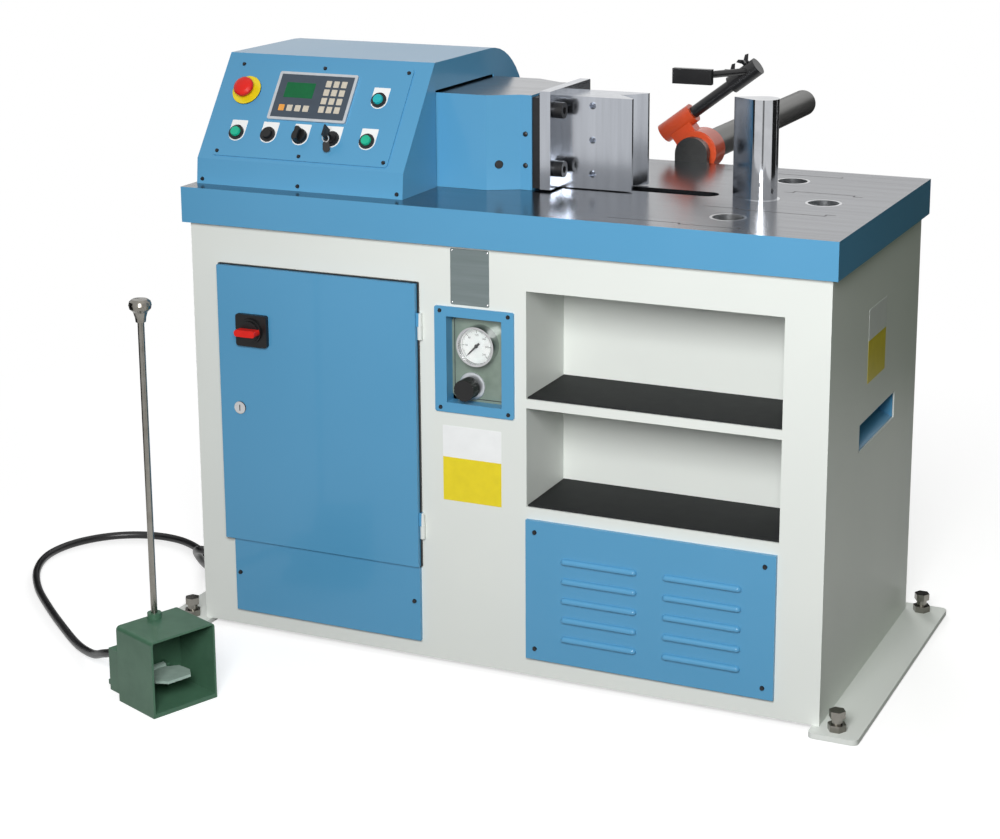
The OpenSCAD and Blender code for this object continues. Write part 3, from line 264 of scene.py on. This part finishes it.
NODE_FINISH = {
    "table_slab": GROUND_STEEL, "post_bushes": BORED_STEEL, "bending_post": POLISHED_STEEL,
    "front_frame": CREAM_COAT, "cabinet_body": CREAM_COAT, "rear_panel": CREAM_COAT,
    "niche_box": CREAM_COAT, "niche_mats": MAT_RUBBER, "foot_bars": CREAM_COAT,
    "levelling_bolts": DARKENED_CHROME, "lifting_pockets": BLUE_ENAMEL, "lower_cover": BLUE_ENAMEL,
    "louvred_cover": BLUE_ENAMEL, "cover_screws": BLACK_OXIDE, "gauge_frame": BLUE_ENAMEL,
    "gauge_plate": GREY_GREEN, "gauge_case": CHROME, "gauge_needle": BLACK_PAINT,
    "regulator_knob": BLACK_NYLON, "electrical_door": BLUE_ENAMEL, "hinge_pins": CREAM_COAT,
    "main_switch_base": BLACK_NYLON, "main_switch_handle": RED_ABS, "door_lock": CHROME,
    "electrical_plate": ZINC, "oil_tank": TANK_PAINT, "pump_motor": MOTOR_PAINT,
    "valve_block": ZINC, "control_hood": BLUE_ENAMEL, "control_panel": BLUE_ENAMEL,
    "display_unit": SILVER_ANODISED, "switch_bezels": BLACK_OXIDE, "emergency_stop": RED_ABS,
    "start_button": GREEN_LENS, "jog_button": BLACK_NYLON, "mode_selector": BLACK_NYLON,
    "key_switch": BLACK_OXIDE, "cycle_button": GREEN_LENS, "reset_button": TEAL_LENS,
    "cylinder_barrel": CAST_IRON, "piston_rod": CHROME, "ram_block": BLUE_ENAMEL,
    "guide_key": UPRIGHT_STEEL, "backing_plates": BLACK_OXIDE, "die_flange": UPRIGHT_STEEL,
    "flange_bolts": BLACK_OXIDE, "die_holder": UPRIGHT_STEEL, "vee_die": UPRIGHT_STEEL,
    "gauge_bar": TURNED_STEEL, "gauge_collar": ORANGE_ENAMEL, "gauge_arm": BLACK_PAINT,
    "gauge_head": BLACK_PAINT, "arm_screw": BLACK_OXIDE, "rod_screw": BLACK_OXIDE,
    "stop_rod": BLACK_PAINT, "pedal_housing": GREEN_CASTING, "pedal_treadle": GREEN_TREAD,
    "carrying_rod": DARKENED_CHROME, "cable_glands": BLACK_NYLON, "foot_cable": HOSE_RUBBER,
}
for node, mat in NODE_FINISH.items():
    data = frame["nodes"][node].data
    data.materials.clear()
    data.materials.append(mat)


def second_finish(node, mat, chosen):
    """Gives the faces that chosen(centres, normals) picks a second finish."""
    data = frame["nodes"][node].data
    count = len(data.polygons)
    centres, normals = np.zeros(count * 3), np.zeros(count * 3)
    data.polygons.foreach_get("center", centres)
    data.polygons.foreach_get("normal", normals)
    picked = chosen(centres.reshape(-1, 3), normals.reshape(-1, 3))
    data.materials.append(mat)
    data.polygons.foreach_set("material_index",
                              picked.astype(np.int32) * (len(data.materials) - 1))
    data.update()


SLAB_LOW, SLAB_HIGH = (np.array(corner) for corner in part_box("table_slab"))
SWITCH_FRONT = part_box("main_switch_handle")[0].y
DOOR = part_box("electrical_door")
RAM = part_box("ram_block")
RIM_DEEP = 5 * MM
GRIP_LONG = 16 * MM
KNUCKLE = 4.5 * MM
MARGIN = 0.5 * MM


def slab_rim(centres, normals):
    """Upright faces within 5 mm of the slab's outer walls: the slot's and bores' stay bare."""
    near = np.minimum(centres - SLAB_LOW, SLAB_HIGH - centres)[:, :2].min(1) < RIM_DEEP
    return near & (np.abs(normals[:, 2]) < 0.5)


def switch_disc(centres, _):
    """The disc behind the red grip, which stands 16 mm proud of it."""
    return centres[:, 1] > SWITCH_FRONT + GRIP_LONG - MARGIN


def door_knuckles(centres, _):
    """The hinge side's last 4.5 mm, painted with the cabinet."""
    return centres[:, 0] > DOOR[1].x - KNUCKLE


def lock_rim(_, normals):
    """Everything on the lock but its front."""
    return normals[:, 1] > -0.7


def ram_top(centres, normals):
    """The ram's ground top."""
    return (normals[:, 2] > 0.9) & (centres[:, 2] > RAM[1].z - MM)


second_finish("table_slab", BLUE_ENAMEL, slab_rim)
second_finish("main_switch_handle", BLACK_NYLON, switch_disc)
second_finish("electrical_door", CREAM_COAT, door_knuckles)
second_finish("door_lock", BLACK_OXIDE, lock_rim)
second_finish("ram_block", GROUND_STEEL, ram_top)


# ---------------------------------------------------------------- surfaces

SHARP_EDGE = math.radians(35)


def surface(name, rings, body, mat):
    """A skin over rings of points, one row per ring, each ring closed on itself.

    point(i, j) = rings[i, j]; cell (i, j) is the face between it and its next row and column.
    """
    rows, cols = rings.shape[:2]
    i, j = np.meshgrid(np.arange(rows - 1), np.arange(cols), indexing="ij")
    nxt = (j + 1) % cols
    faces = np.stack([i * cols + j, i * cols + nxt, (i + 1) * cols + nxt, (i + 1) * cols + j], -1)
    data = bpy.data.meshes.new(name)
    data.from_pydata(rings.reshape(-1, 3).tolist(), [], faces.reshape(-1, 4).tolist())
    mesh = bmesh.new()
    mesh.from_mesh(data)
    bmesh.ops.remove_doubles(mesh, verts=mesh.verts, dist=1e-7)
    bmesh.ops.dissolve_degenerate(mesh, edges=mesh.edges, dist=1e-8)
    bmesh.ops.recalc_face_normals(mesh, faces=mesh.faces)
    mesh.to_mesh(data)
    mesh.free()
    data.shade_smooth()
    data.set_sharp_from_angle(angle=SHARP_EDGE)
    data.materials.append(mat)
    obj = put(name, data)
    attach(obj, body)
    return obj


def ribbons(name, corners, body, mat):
    """Separate flat pieces in one mesh: corners[i] are the four corners of piece i."""
    data = bpy.data.meshes.new(name)
    data.from_pydata(corners.reshape(-1, 3).tolist(), [],
                     np.arange(4 * len(corners)).reshape(-1, 4).tolist())
    data.materials.append(mat)
    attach(put(name, data), body)


class Seat:
    """A flat place on the object: its middle, its right and its up; out = right x up."""

    def __init__(self, middle, right=(1, 0, 0), up=(0, 0, 1)):
        self.middle = np.array(middle, float)
        self.right = np.array(right, float) / np.linalg.norm(right)
        self.up = np.array(up, float) / np.linalg.norm(up)
        self.out = np.cross(self.right, self.up)

    def lay(self, across, along, high):
        """middle + across * right + along * up + high * out, for whole arrays of mm."""
        across, along, high = (np.asarray(size) * MM for size in (across, along, high))
        return (self.middle + np.multiply.outer(across, self.right)
                + np.multiply.outer(along, self.up) + np.multiply.outer(high, self.out))

    def moved(self, across, along, high=0.0):
        """The same seat, moved that many mm."""
        return Seat(self.lay(across, along, high), self.right, self.up)


def outline(width, height, radii, steps=6):
    """Corner centres and directions of a rectangle with four corner radii, from the lower right.

    point = centre + (radius - drawn in) * direction, the direction turning 90 degrees at
    each corner.
    """
    signs = np.array([(1, -1), (1, 1), (-1, 1), (-1, -1)])
    radii = np.array(radii, float)
    centres = signs * (np.array([width, height]) / 2 - radii[:, None])
    start = np.array([-0.5, 0, 0.5, 1])[:, None] * np.pi
    turn = np.linspace(0, np.pi / 2, steps)[None, :] + start
    directions = np.stack([np.cos(turn), np.sin(turn)], -1)
    centres = np.repeat(centres[:, None, :], steps, 1)
    radii = np.repeat(radii[:, None], steps, 1)
    return centres.reshape(-1, 2), directions.reshape(-1, 2), radii.reshape(-1)


def plate(name, seat, body, mat, width, height, thick, corner=1.5, edge=0.3, radii=None):
    """A plate with rounded corners and a rounded rim.

    Rings: the base's middle, its rim, up the side, over the rim by a quarter circle of the edge
    radius, one ring further in that keeps the face's shading flat, and the face's middle.
    """
    centres, directions, r = outline(width, height, radii or (corner,) * 4)
    arc = np.linspace(0, np.pi / 2, 4)
    drawn = np.concatenate([[0.0], edge * (1 - np.cos(arc)), [1.5 * edge]])
    high = np.concatenate([[0.0, 0.0], thick - edge + edge * np.sin(arc), [thick, thick]])
    inward = np.maximum(r[None, :, None] - drawn[:, None, None], 0)
    rings = centres[None] + inward * directions[None]
    middle = np.broadcast_to(rings[0].mean(0), rings[:1].shape)
    rings = np.concatenate([middle, rings, middle])
    high = np.broadcast_to(high[:, None], rings.shape[:2])
    return surface(name, seat.lay(rings[..., 0], rings[..., 1], high), body, mat)


def frame_strip(name, seat, body, mat, width, height, band, thick, corner=3):
    """A flat ring: outer rim, inner rim `band` further in, each at the base and at the face.

    Rings run outer base, outer face, inner face, inner base and back to the first.
    """
    centres, directions, r = outline(width, height, (corner,) * 4)
    outer = centres + r[:, None] * directions
    inner = outer * (1 - 2 * band / np.array([width, height]))
    rings = np.stack([outer, outer, inner, inner, outer])
    high = np.broadcast_to(np.array([0, thick, thick, 0, 0])[:, None], rings.shape[:2])
    return surface(name, seat.lay(rings[..., 0], rings[..., 1], high), body, mat)


def turned(name, seat, body, mat, profile, sides=48):
    """A turned piece: point(h, a) = h * out + r(h) * (cos a * right + sin a * up).

    The profile lists (r, h) from the base round.
    """
    r, h = np.array(profile, float).T[:, :, None]
    a = np.linspace(0, 2 * np.pi, sides, endpoint=False)
    return surface(name, seat.lay(r * np.cos(a), r * np.sin(a), h + 0 * a), body, mat)


def swept(path, radius, sides=20):
    """A round skin along a path: point = path + r * (cos a * side + sin a * over).

    side = along x vertical and over = side x along, so the ring never twists. Both ends
    close. The path and the radius are metres.
    """
    along = np.gradient(path, axis=0)
    along /= np.linalg.norm(along, axis=1)[:, None]
    side = np.cross(along, [0, 0, 1.0])
    side /= np.linalg.norm(side, axis=1)[:, None]
    over = np.cross(side, along)
    a = np.linspace(0, 2 * np.pi, sides, endpoint=False)[None, :, None]
    rings = path[:, None] + radius * (np.cos(a) * side[:, None] + np.sin(a) * over[:, None])
    start, end = (np.broadcast_to(path[n], rings[:1].shape) for n in (0, -1))
    return np.concatenate([start, rings, end])


def spline(points, per=10):
    """Catmull-Rom curve through the points, `per` steps between each and the next:

    0.5 (2b + (c-a) t + (2a-5b+4c-d) t^2 + (3b-a-3c+d) t^3).
    """
    p = np.array(points, float)
    t = (np.arange(per) / per)[None, :, None]
    a, b, c, d = (q[:, None, :] for q in (p[np.r_[0, :len(p) - 2]], p[:-1], p[1:],
                                          p[np.r_[2:len(p), len(p) - 1]]))
    curve = 0.5 * (2 * b + (c - a) * t + (2 * a - 5 * b + 4 * c - d) * t ** 2
                   + (3 * b - a - 3 * c + d) * t ** 3)
    return np.concatenate([curve.reshape(-1, 3), p[-1:]])


def before(node, plane=None):
    """The seat at the middle of a node's front, or straight before it on another's front."""
    low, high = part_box(node)
    return Seat(((low.x + high.x) / 2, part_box(plane or node)[0].y, (low.z + high.z) / 2))


# ---------------------------------------------------------------- pedal cable

CABLE_WIDE = 16 * MM
CABLE_ROUTE = np.array([
    (-616.3, -304.7, 52), (-635, -297.2, 51), (-665, -284, 40), (-712, -255, 20), (-780, -208, 9),
    (-860, -146, 9), (-950, -70, 9), (-1035, 10, 9), (-1100, 95, 9), (-1132, 180, 9),
    (-1122, 262, 9), (-1075, 330, 9), (-1005, 368, 9), (-925, 370, 9), (-850, 335, 9),
    (-790, 272, 12), (-745, 205, 32), (-720, 145, 68), (-702, 98, 106), (-676, 71, 124),
    (-652, 70, 125)]) * MM + [0, FRONT, 0]


def cable():
    """The pedal's cable: a 16 mm round sheath along its route, from the pedal to the cabinet."""
    path = spline(CABLE_ROUTE)
    piece = surface("pedal_cable", swept(path, CABLE_WIDE / 2), "machine", HOSE_RUBBER)
    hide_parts("foot_cable")


cable()

# ---------------------------------------------------------------- control panel

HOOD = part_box("control_hood")
PANEL_SLOPE = (0, 135, 186)
PANEL_FOOT = (HOOD[0].x, HOOD[0].y + 5 * MM, TOP + 48 * MM)
PANEL = Seat(PANEL_FOOT, (1, 0, 0), PANEL_SLOPE)
PANEL_THICK = 2.5

# Places of the fittings, mm along and up the panel
LOW_ROW, HIGH_ROW = 57, 143
FITTINGS = {"start": (70, LOW_ROW), "jog": (139, LOW_ROW), "mode": (208, LOW_ROW),
            "key": (276, LOW_ROW), "cycle": (350, LOW_ROW), "reset": (350, HIGH_ROW)}
STOP_AT, DISPLAY_AT = (63, 148), (211, 140)

# Yellow disc under the stop button, (radius, height)
STOP_RING = [(10.5, 0), (29.6, 0), (29.8, 0.3), (29.5, 0.6), (10.5, 0.6), (10.5, 0)]


def on_panel(u, v, w=0.0):
    """The seat u mm along and v mm up the sloping panel, w mm above its plate."""
    return PANEL.moved(u, v, PANEL_THICK + w)


def legends():
    """White plates, bare of print, under the fittings: square above, half round below."""
    for name, (u, v) in FITTINGS.items():
        plate(f"legend_{name}", on_panel(u, v + 5), "machine", WHITE_VINYL, 34, 44, 0.8,
              edge=0.2, radii=(16.5, 1, 1, 16.5))


def display():
    """Dark membrane on the silver frame, its window, twelve keys on the right and four below."""
    seat = on_panel(*DISPLAY_AT, 5)
    plate("display_membrane", seat, "machine", MEMBRANE, 156, 91, 0.5, 1, 0.15)
    plate("display_window", seat.moved(-31, 12), "machine", LCD_GREEN, 62, 32, 0.9, 1, 0.2)
    for row, v in enumerate((28.5, 10.5, -7.5, -25.5)):
        for col, u in enumerate((27, 43.5, 60)):
            plate(f"key_{row}{col}", seat.moved(u, v), "machine", KEY_PALE, 11.5, 13.5, 1, 1)
    for col, u in enumerate((-59, -41.5, -24, -6.5)):
        plate(f"key_low_{col}", seat.moved(u, -26), "machine", KEY_PALE if col else KEY_ORANGE,
              12, 13, 1, 1)


def spare_key():
    """Second key on a split ring through the bow of the first, hanging straight down.

    It is turned 20 degrees towards +X.
    """
    bow = Seat(on_panel(*FITTINGS["key"], 29).middle)
    frame_strip("key_ring", bow.moved(0, -11), "key", CHROME, 15, 15, 1.6, 1.4, 7.5)
    hung = bow.moved(0, -27, -1.2)
    plate("spare_key", Seat(hung.middle, (0.94, 0.34, 0)), "key", BLACK_NYLON, 13, 20, 2.4, 5, 0.6)


legends()
display()
spare_key()
turned("stop_ring", on_panel(*STOP_AT, 2), "machine", YELLOW_VINYL, STOP_RING, 64)

# ---------------------------------------------------------------- plates on the cabinet

FACE = Seat((0, CABINET_FRONT, 0))
SIDE = Seat((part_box("cabinet_body")[1].x, FRONT, 0), (0, 1, 0))

# Rating plate, bare of print, with a drive rivet near each corner
RATING_THICK = 0.9
RATING = FACE.moved(-41.5, 755)
RIVET = [(0, 0), (2, 0), (1.7, 0.7), (1, 1.1), (0, 1.2)]
plate("rating_plate", RATING, "machine", PLATE_METAL, 77, 104, RATING_THICK, 3)
for n, (x, z) in enumerate(((-35, -48), (35, -48), (-35, 48), (35, 48))):
    turned(f"rating_rivet_{n}", RATING.moved(x, z, RATING_THICK), "machine", CHROME, RIVET, 20)

# Plain fields of colour where a machine of this kind carries labels: white over yellow, twice
WHITE_SHARE = 0.42
for place, seat, wide, high in (("front", FACE.moved(-40, 401), 118, 144),
                                ("side", SIDE.moved(316, 637), 120, 137)):
    for tint, mat, share, middle in (("white", WHITE_VINYL, WHITE_SHARE, (1 - WHITE_SHARE) / 2),
                                     ("yellow", YELLOW_VINYL, 1 - WHITE_SHARE, -WHITE_SHARE / 2)):
        plate(f"field_{tint}_{place}", seat.moved(0, middle * high), "machine", mat,
              wide, share * high, 0.3, 1, 0.1)

# Black rubber strip behind the door, standing proud of its outline: painted shade, a dark line
# standing in for the shadow in the gap round the door
DOOR_WIDE, GAP_SHADE_OUT, GAP_SHADE_BAND, GAP_SHADE_THICK = 420, 2.5, 12, 5
DOOR_SEAT = Seat((DOOR[0].x + DOOR_WIDE * MM / 2, DOOR[1].y, (DOOR[0].z + DOOR[1].z) / 2))
frame_strip("door_gap_shade", DOOR_SEAT, "door", HOSE_RUBBER, DOOR_WIDE + 2 * GAP_SHADE_OUT,
            (DOOR[1].z - DOOR[0].z) / MM + 2 * GAP_SHADE_OUT, GAP_SHADE_BAND, GAP_SHADE_THICK)

# Black plug sunk in the ram's cross hole, on the 30 degree chamfer
CHAMFER = Seat((RAM[1].x - 58 * MM, RAM[0].y + 12 * MM, RAM[0].z + 48 * MM), (math.sqrt(3), 1, 0))
turned("ram_plug", CHAMFER.moved(0, 0, -9), "ram", BLACK_NYLON,
       [(0, 0), (7.8, 0), (7.8, 7), (7, 8), (0, 8)], 32)

# Two button screws on the flat of the ram's nose, 46 and 105 mm above its foot
NOSE = Seat((RAM[1].x - 13 * MM, RAM[0].y + 32 * MM, RAM[0].z))
BUTTON_SCREW = [(0, 0), (5, 0), (4.6, 1.4), (3.2, 2.4), (0, 2.8)]
for n, high in enumerate((46, 105)):
    turned(f"nose_screw_{n}", NOSE.moved(0, high), "ram", BLACK_OXIDE, BUTTON_SCREW, 24)

# ---------------------------------------------------------------- pressure gauge

DIAL = before("gauge_case")
DIAL_DEEP, INK_DEEP, GLASS_DEEP = -9.9, -9.1, -3.5
DIAL_DISC = [(2, 0), (32.6, 0), (32.6, 0.6), (2, 0.6), (2, 0)]
GLASS_DISC = [(0, 0), (32.8, 0), (32.8, 1.5), (0, 1.5)]
SCALE_START, SCALE_SWEEP, TICKS, FIGURES = 225, 270, 60, 6
TICK_OUT, FIGURE_OUT, FIGURE_HIGH, FIGURE_STEP = 30.5, 20.5, 5, 40


def dial():
    """White disc behind the needle, ticks every 4.5 degrees over 270, and numbers inside them.

    A tick is a thin bar from its inner radius to 30.5 mm: every tenth is longest and widest,
    and every fifth is longer.
    """
    turned("dial", DIAL.moved(0, 0, DIAL_DEEP), "machine", DIAL_WHITE, DIAL_DISC, 64)
    k = np.arange(TICKS + 1)
    a = np.radians(SCALE_START - SCALE_SWEEP / TICKS * k)
    inner = np.where(k % 10 == 0, 24.5, np.where(k % 5 == 0, 26, 27.5))[:, None]
    radial = np.stack([np.cos(a), np.sin(a)], -1)
    half = np.stack([-np.sin(a), np.cos(a)], -1) * np.where(k % 10 == 0, 0.45, 0.25)[:, None]
    corners = np.stack([radial * inner - half, radial * TICK_OUT - half,
                        radial * TICK_OUT + half, radial * inner + half], 1)
    at = DIAL.lay(corners[..., 0], corners[..., 1], np.full(corners.shape[:2], INK_DEEP))
    ribbons("dial_ticks", at, "machine", INK)
    for n in range(FIGURES + 1):
        a = math.radians(SCALE_START - SCALE_SWEEP / FIGURES * n)
        numeral(f"dial_number_{n}", str(FIGURE_STEP * n),
                DIAL.moved(FIGURE_OUT * math.cos(a), FIGURE_OUT * math.sin(a), INK_DEEP),
                FIGURE_HIGH)


def numeral(name, text, seat, size):
    """Plain figures centred on the seat, made a mesh before they are put in place."""
    curve = bpy.data.curves.new(name, "FONT")
    curve.body, curve.size, curve.align_x, curve.align_y = text, size * MM, "CENTER", "CENTER"
    holder = put(name + "_curve", curve)
    bpy.context.view_layer.update()
    depsgraph = bpy.context.evaluated_depsgraph_get()
    data = bpy.data.meshes.new_from_object(holder.evaluated_get(depsgraph))
    bpy.data.objects.remove(holder)
    columns = np.stack([seat.right, seat.up, seat.out, seat.middle], -1)
    data.transform(Matrix((*columns.tolist(), (0, 0, 0, 1))))
    data.materials.clear()
    data.materials.append(INK)
    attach(put(name, data), "machine")


KNOB_RING = [(12, 0), (26, 0), (25.5, 2.2), (22.5, 3), (12, 3), (12, 0)]

dial()
frame_strip("gauge_border", before("gauge_plate"), "machine", INK, 101, 153, 1.3, 0.3, 7)
turned("knob_ring", before("regulator_knob", "gauge_plate"), "machine", SILVER_ANODISED, KNOB_RING)
turned("gauge_glass", DIAL.moved(0, 0, GLASS_DEEP), "machine", GLASS, GLASS_DISC, 64)

# ---------------------------------------------------------------- scribed lines on the table

LINE_WIDE = 2.6
LINE_LIFT = 0.05


def scribed(name, points):
    """A groove along straight runs, points in mm from the table's middle and its front edge.

    Each run is a flat ribbon 0.05 mm above the steel, half its width to each side and past
    each end: corners = end +- half * across +- half * along.
    """
    p = np.array(points, float)
    d = np.diff(p, axis=0)
    d /= np.linalg.norm(d, axis=1)[:, None]
    ahead = d * LINE_WIDE / 2
    side = np.stack([-ahead[:, 1], ahead[:, 0]], -1)
    quads = np.stack([p[:-1] - side - ahead, p[1:] - side + ahead, p[1:] + side + ahead,
                      p[:-1] + side - ahead], 1)
    high = np.full((*quads.shape[:2], 1), LINE_LIFT)
    at = np.concatenate([quads, high], -1) * MM + [0, FRONT, TOP]
    ribbons(name, at, "machine", SCRIBED)


scribed("line_back", [(236, 576), (275, 576), (275, 569), (482, 569), (482, 577)])
scribed("line_middle", [(425, 391), (441, 391), (441, 403), (554, 403), (554, 393), (570, 393)])
scribed("line_front", [(332, 207), (395, 207), (395, 199), (557, 199), (557, 211), (572, 211)])
scribed("line_near", [(214, 44), (345, 44), (345, 37), (452, 37), (452, 50)])

# ---------------------------------------------------------------- floor and light

WHITE = (1, 1, 1, 1)
FLOOR_HALF, FLOOR_LOW = 30, -0.5 * MM
# The floor is lit up to 0.9 m from the middle and plain white from 2.3 m
FADE_FROM, FADE_TO = 0.9, 2.3
FLOOR_LIFT = 0.6
FLOOR_LIT, FLOOR_BOUNCE = "c8c8c8", "464646"
ROOM_LIGHT = 0.19

# Lamps: place, what it points at, size in metres, watts, and whether metal mirrors it
LAMPS = {"key": ((0.85, -3.1, 1.9), (0.1, -0.5, 0.5), 1.2, 103, True),
         "overhead": ((-0.2, -0.4, 4.2), (0, 0, 0.8), 2.2, 5, True),
         "back_fill": ((-1.6, 3.6, 1.9), (-0.2, 0.1, 0.6), 2.0, 104, False)}

# Cards stand this far out, and the low ones reach this high, which the table's top looks over
CARD_AWAY, CARD_HIGH = 1.9, 1.1
DARK, GREY, OLIVE = (0.02, 0.02, 0.02), (0.22, 0.22, 0.22), (0.09, 0.12, 0.07)

# Cards: degrees round from +X, width, shade, height, and whether reflections see it
CARDS = {f"dark_card_{n}": (10 + 40 * n, 1.3, DARK, CARD_HIGH, True) for n in range(6)}
CARDS["grey_card"] = (296, 0.35, GREY, CARD_HIGH, True)
CARDS["olive_card"] = (2, 2.6, OLIVE, 2 * CARD_HIGH, False)


def card(name, turn, width, shade, high, mirrored):
    """A studio card, CARD_AWAY out at `turn` degrees from +X.

    A mirrored card is seen only by reflections: upright polished steel shows it as a band, and
    the table's top looks over it to the white. Any other is seen only by matt surfaces, which
    it shades and tints.
    """
    t = math.radians(turn)
    middle = np.array([math.cos(t), math.sin(t), 0]) * CARD_AWAY
    half = np.array([-math.sin(t), math.cos(t), 0]) * width / 2
    low = np.array([middle - half, middle + half])
    data = bpy.data.meshes.new(name)
    data.from_pydata(np.concatenate([low, low[::-1] + [0, 0, high]]).tolist(), [], [(0, 1, 2, 3)])
    mat = bpy.data.materials.new(name)
    tree = bare_tree(mat)
    glow = add(tree, "ShaderNodeEmission", {"Color": (*shade, 1), "Strength": 1.0})
    add(tree, "ShaderNodeOutputMaterial", {"Surface": glow.outputs[0]})
    data.materials.append(mat)
    obj = put(name, data)
    obj.visible_camera = obj.visible_shadow = obj.visible_transmission = False
    obj.visible_glossy, obj.visible_diffuse = mirrored, not mirrored


def shown_to(tree, *rays):
    """1 for the kinds of ray named and 0 for the others, which carry light to the object."""
    path = add(tree, "ShaderNodeLightPath")
    shown = path.outputs[rays[0]]
    for ray in rays[1:]:
        shown = add(tree, "ShaderNodeMath", {0: shown, 1: path.outputs[ray]},
                    operation="MAXIMUM").outputs[0]
    return shown


def pale_floor():
    """White floor: lit near the object, where it keeps the shadow, and plain white far away.

    The light that it throws back on the object is that of a darker floor.
    """
    mat = bpy.data.materials.new("pale floor")
    tree = bare_tree(mat)
    place = add(tree, "ShaderNodeTexCoord").outputs["Object"]
    far = add(tree, "ShaderNodeVectorMath", {0: place}, operation="LENGTH").outputs["Value"]
    fade = add(tree, "ShaderNodeMapRange",
               {"Value": far, "From Min": FADE_FROM, "From Max": FADE_TO})
    lit = add(tree, "ShaderNodeBsdfDiffuse", {"Color": colour(FLOOR_LIT)})
    lift = add(tree, "ShaderNodeEmission", {"Color": WHITE, "Strength": FLOOR_LIFT})
    near = add(tree, "ShaderNodeAddShader", {0: lit.outputs[0], 1: lift.outputs[0]})
    white = add(tree, "ShaderNodeEmission", {"Color": WHITE, "Strength": 1.0})
    seen = add(tree, "ShaderNodeMixShader",
               {0: fade.outputs[0], 1: near.outputs[0], 2: white.outputs[0]})
    plain = add(tree, "ShaderNodeBsdfDiffuse", {"Color": colour(FLOOR_BOUNCE)})
    shown = shown_to(tree, "Is Camera Ray", "Is Glossy Ray")
    both = add(tree, "ShaderNodeMixShader", {0: shown, 1: plain.outputs[0], 2: seen.outputs[0]})
    add(tree, "ShaderNodeOutputMaterial", {"Surface": both.outputs[0]})
    return mat


def white_room():
    """World of strength 1 where it is seen or mirrored, and of a plain low level as light."""
    world = bpy.data.worlds.new("studio")
    bpy.context.scene.world = world
    tree = bare_tree(world)
    shown = shown_to(tree, "Is Camera Ray", "Is Glossy Ray", "Is Transmission Ray")
    strength = add(tree, "ShaderNodeMapRange",
                   {"Value": shown, "To Min": ROOM_LIGHT, "To Max": 1.0})
    sky = add(tree, "ShaderNodeBackground", {"Color": WHITE, "Strength": strength.outputs[0]})
    add(tree, "ShaderNodeOutputWorld", {"Surface": sky.outputs[0]})


def studio():
    """White floor and surroundings; soft lamps in front to the right, above and behind; cards."""
    floor = bpy.data.meshes.new("floor")
    corners = np.array([(-1, -1, 0), (1, -1, 0), (1, 1, 0), (-1, 1, 0)]) * FLOOR_HALF
    floor.from_pydata(corners.tolist(), [], [(0, 1, 2, 3)])
    floor.materials.append(pale_floor())
    obj = put("floor", floor)
    obj.location.z = FLOOR_LOW
    white_room()
    for name, (at, aim, size, power, mirrored) in LAMPS.items():
        data = bpy.data.lights.new(name, "AREA")
        data.size, data.energy = size, power
        lamp = put(name, data)
        lamp.location = at
        lamp.visible_glossy = mirrored
        lamp.rotation_euler = (Vector(aim) - Vector(at)).to_track_quat("-Z", "Y").to_euler()
    for name, facts in CARDS.items():
        card(name, *facts)


studio()
scene = bpy.context.scene
scene.view_settings.view_transform = "Standard"
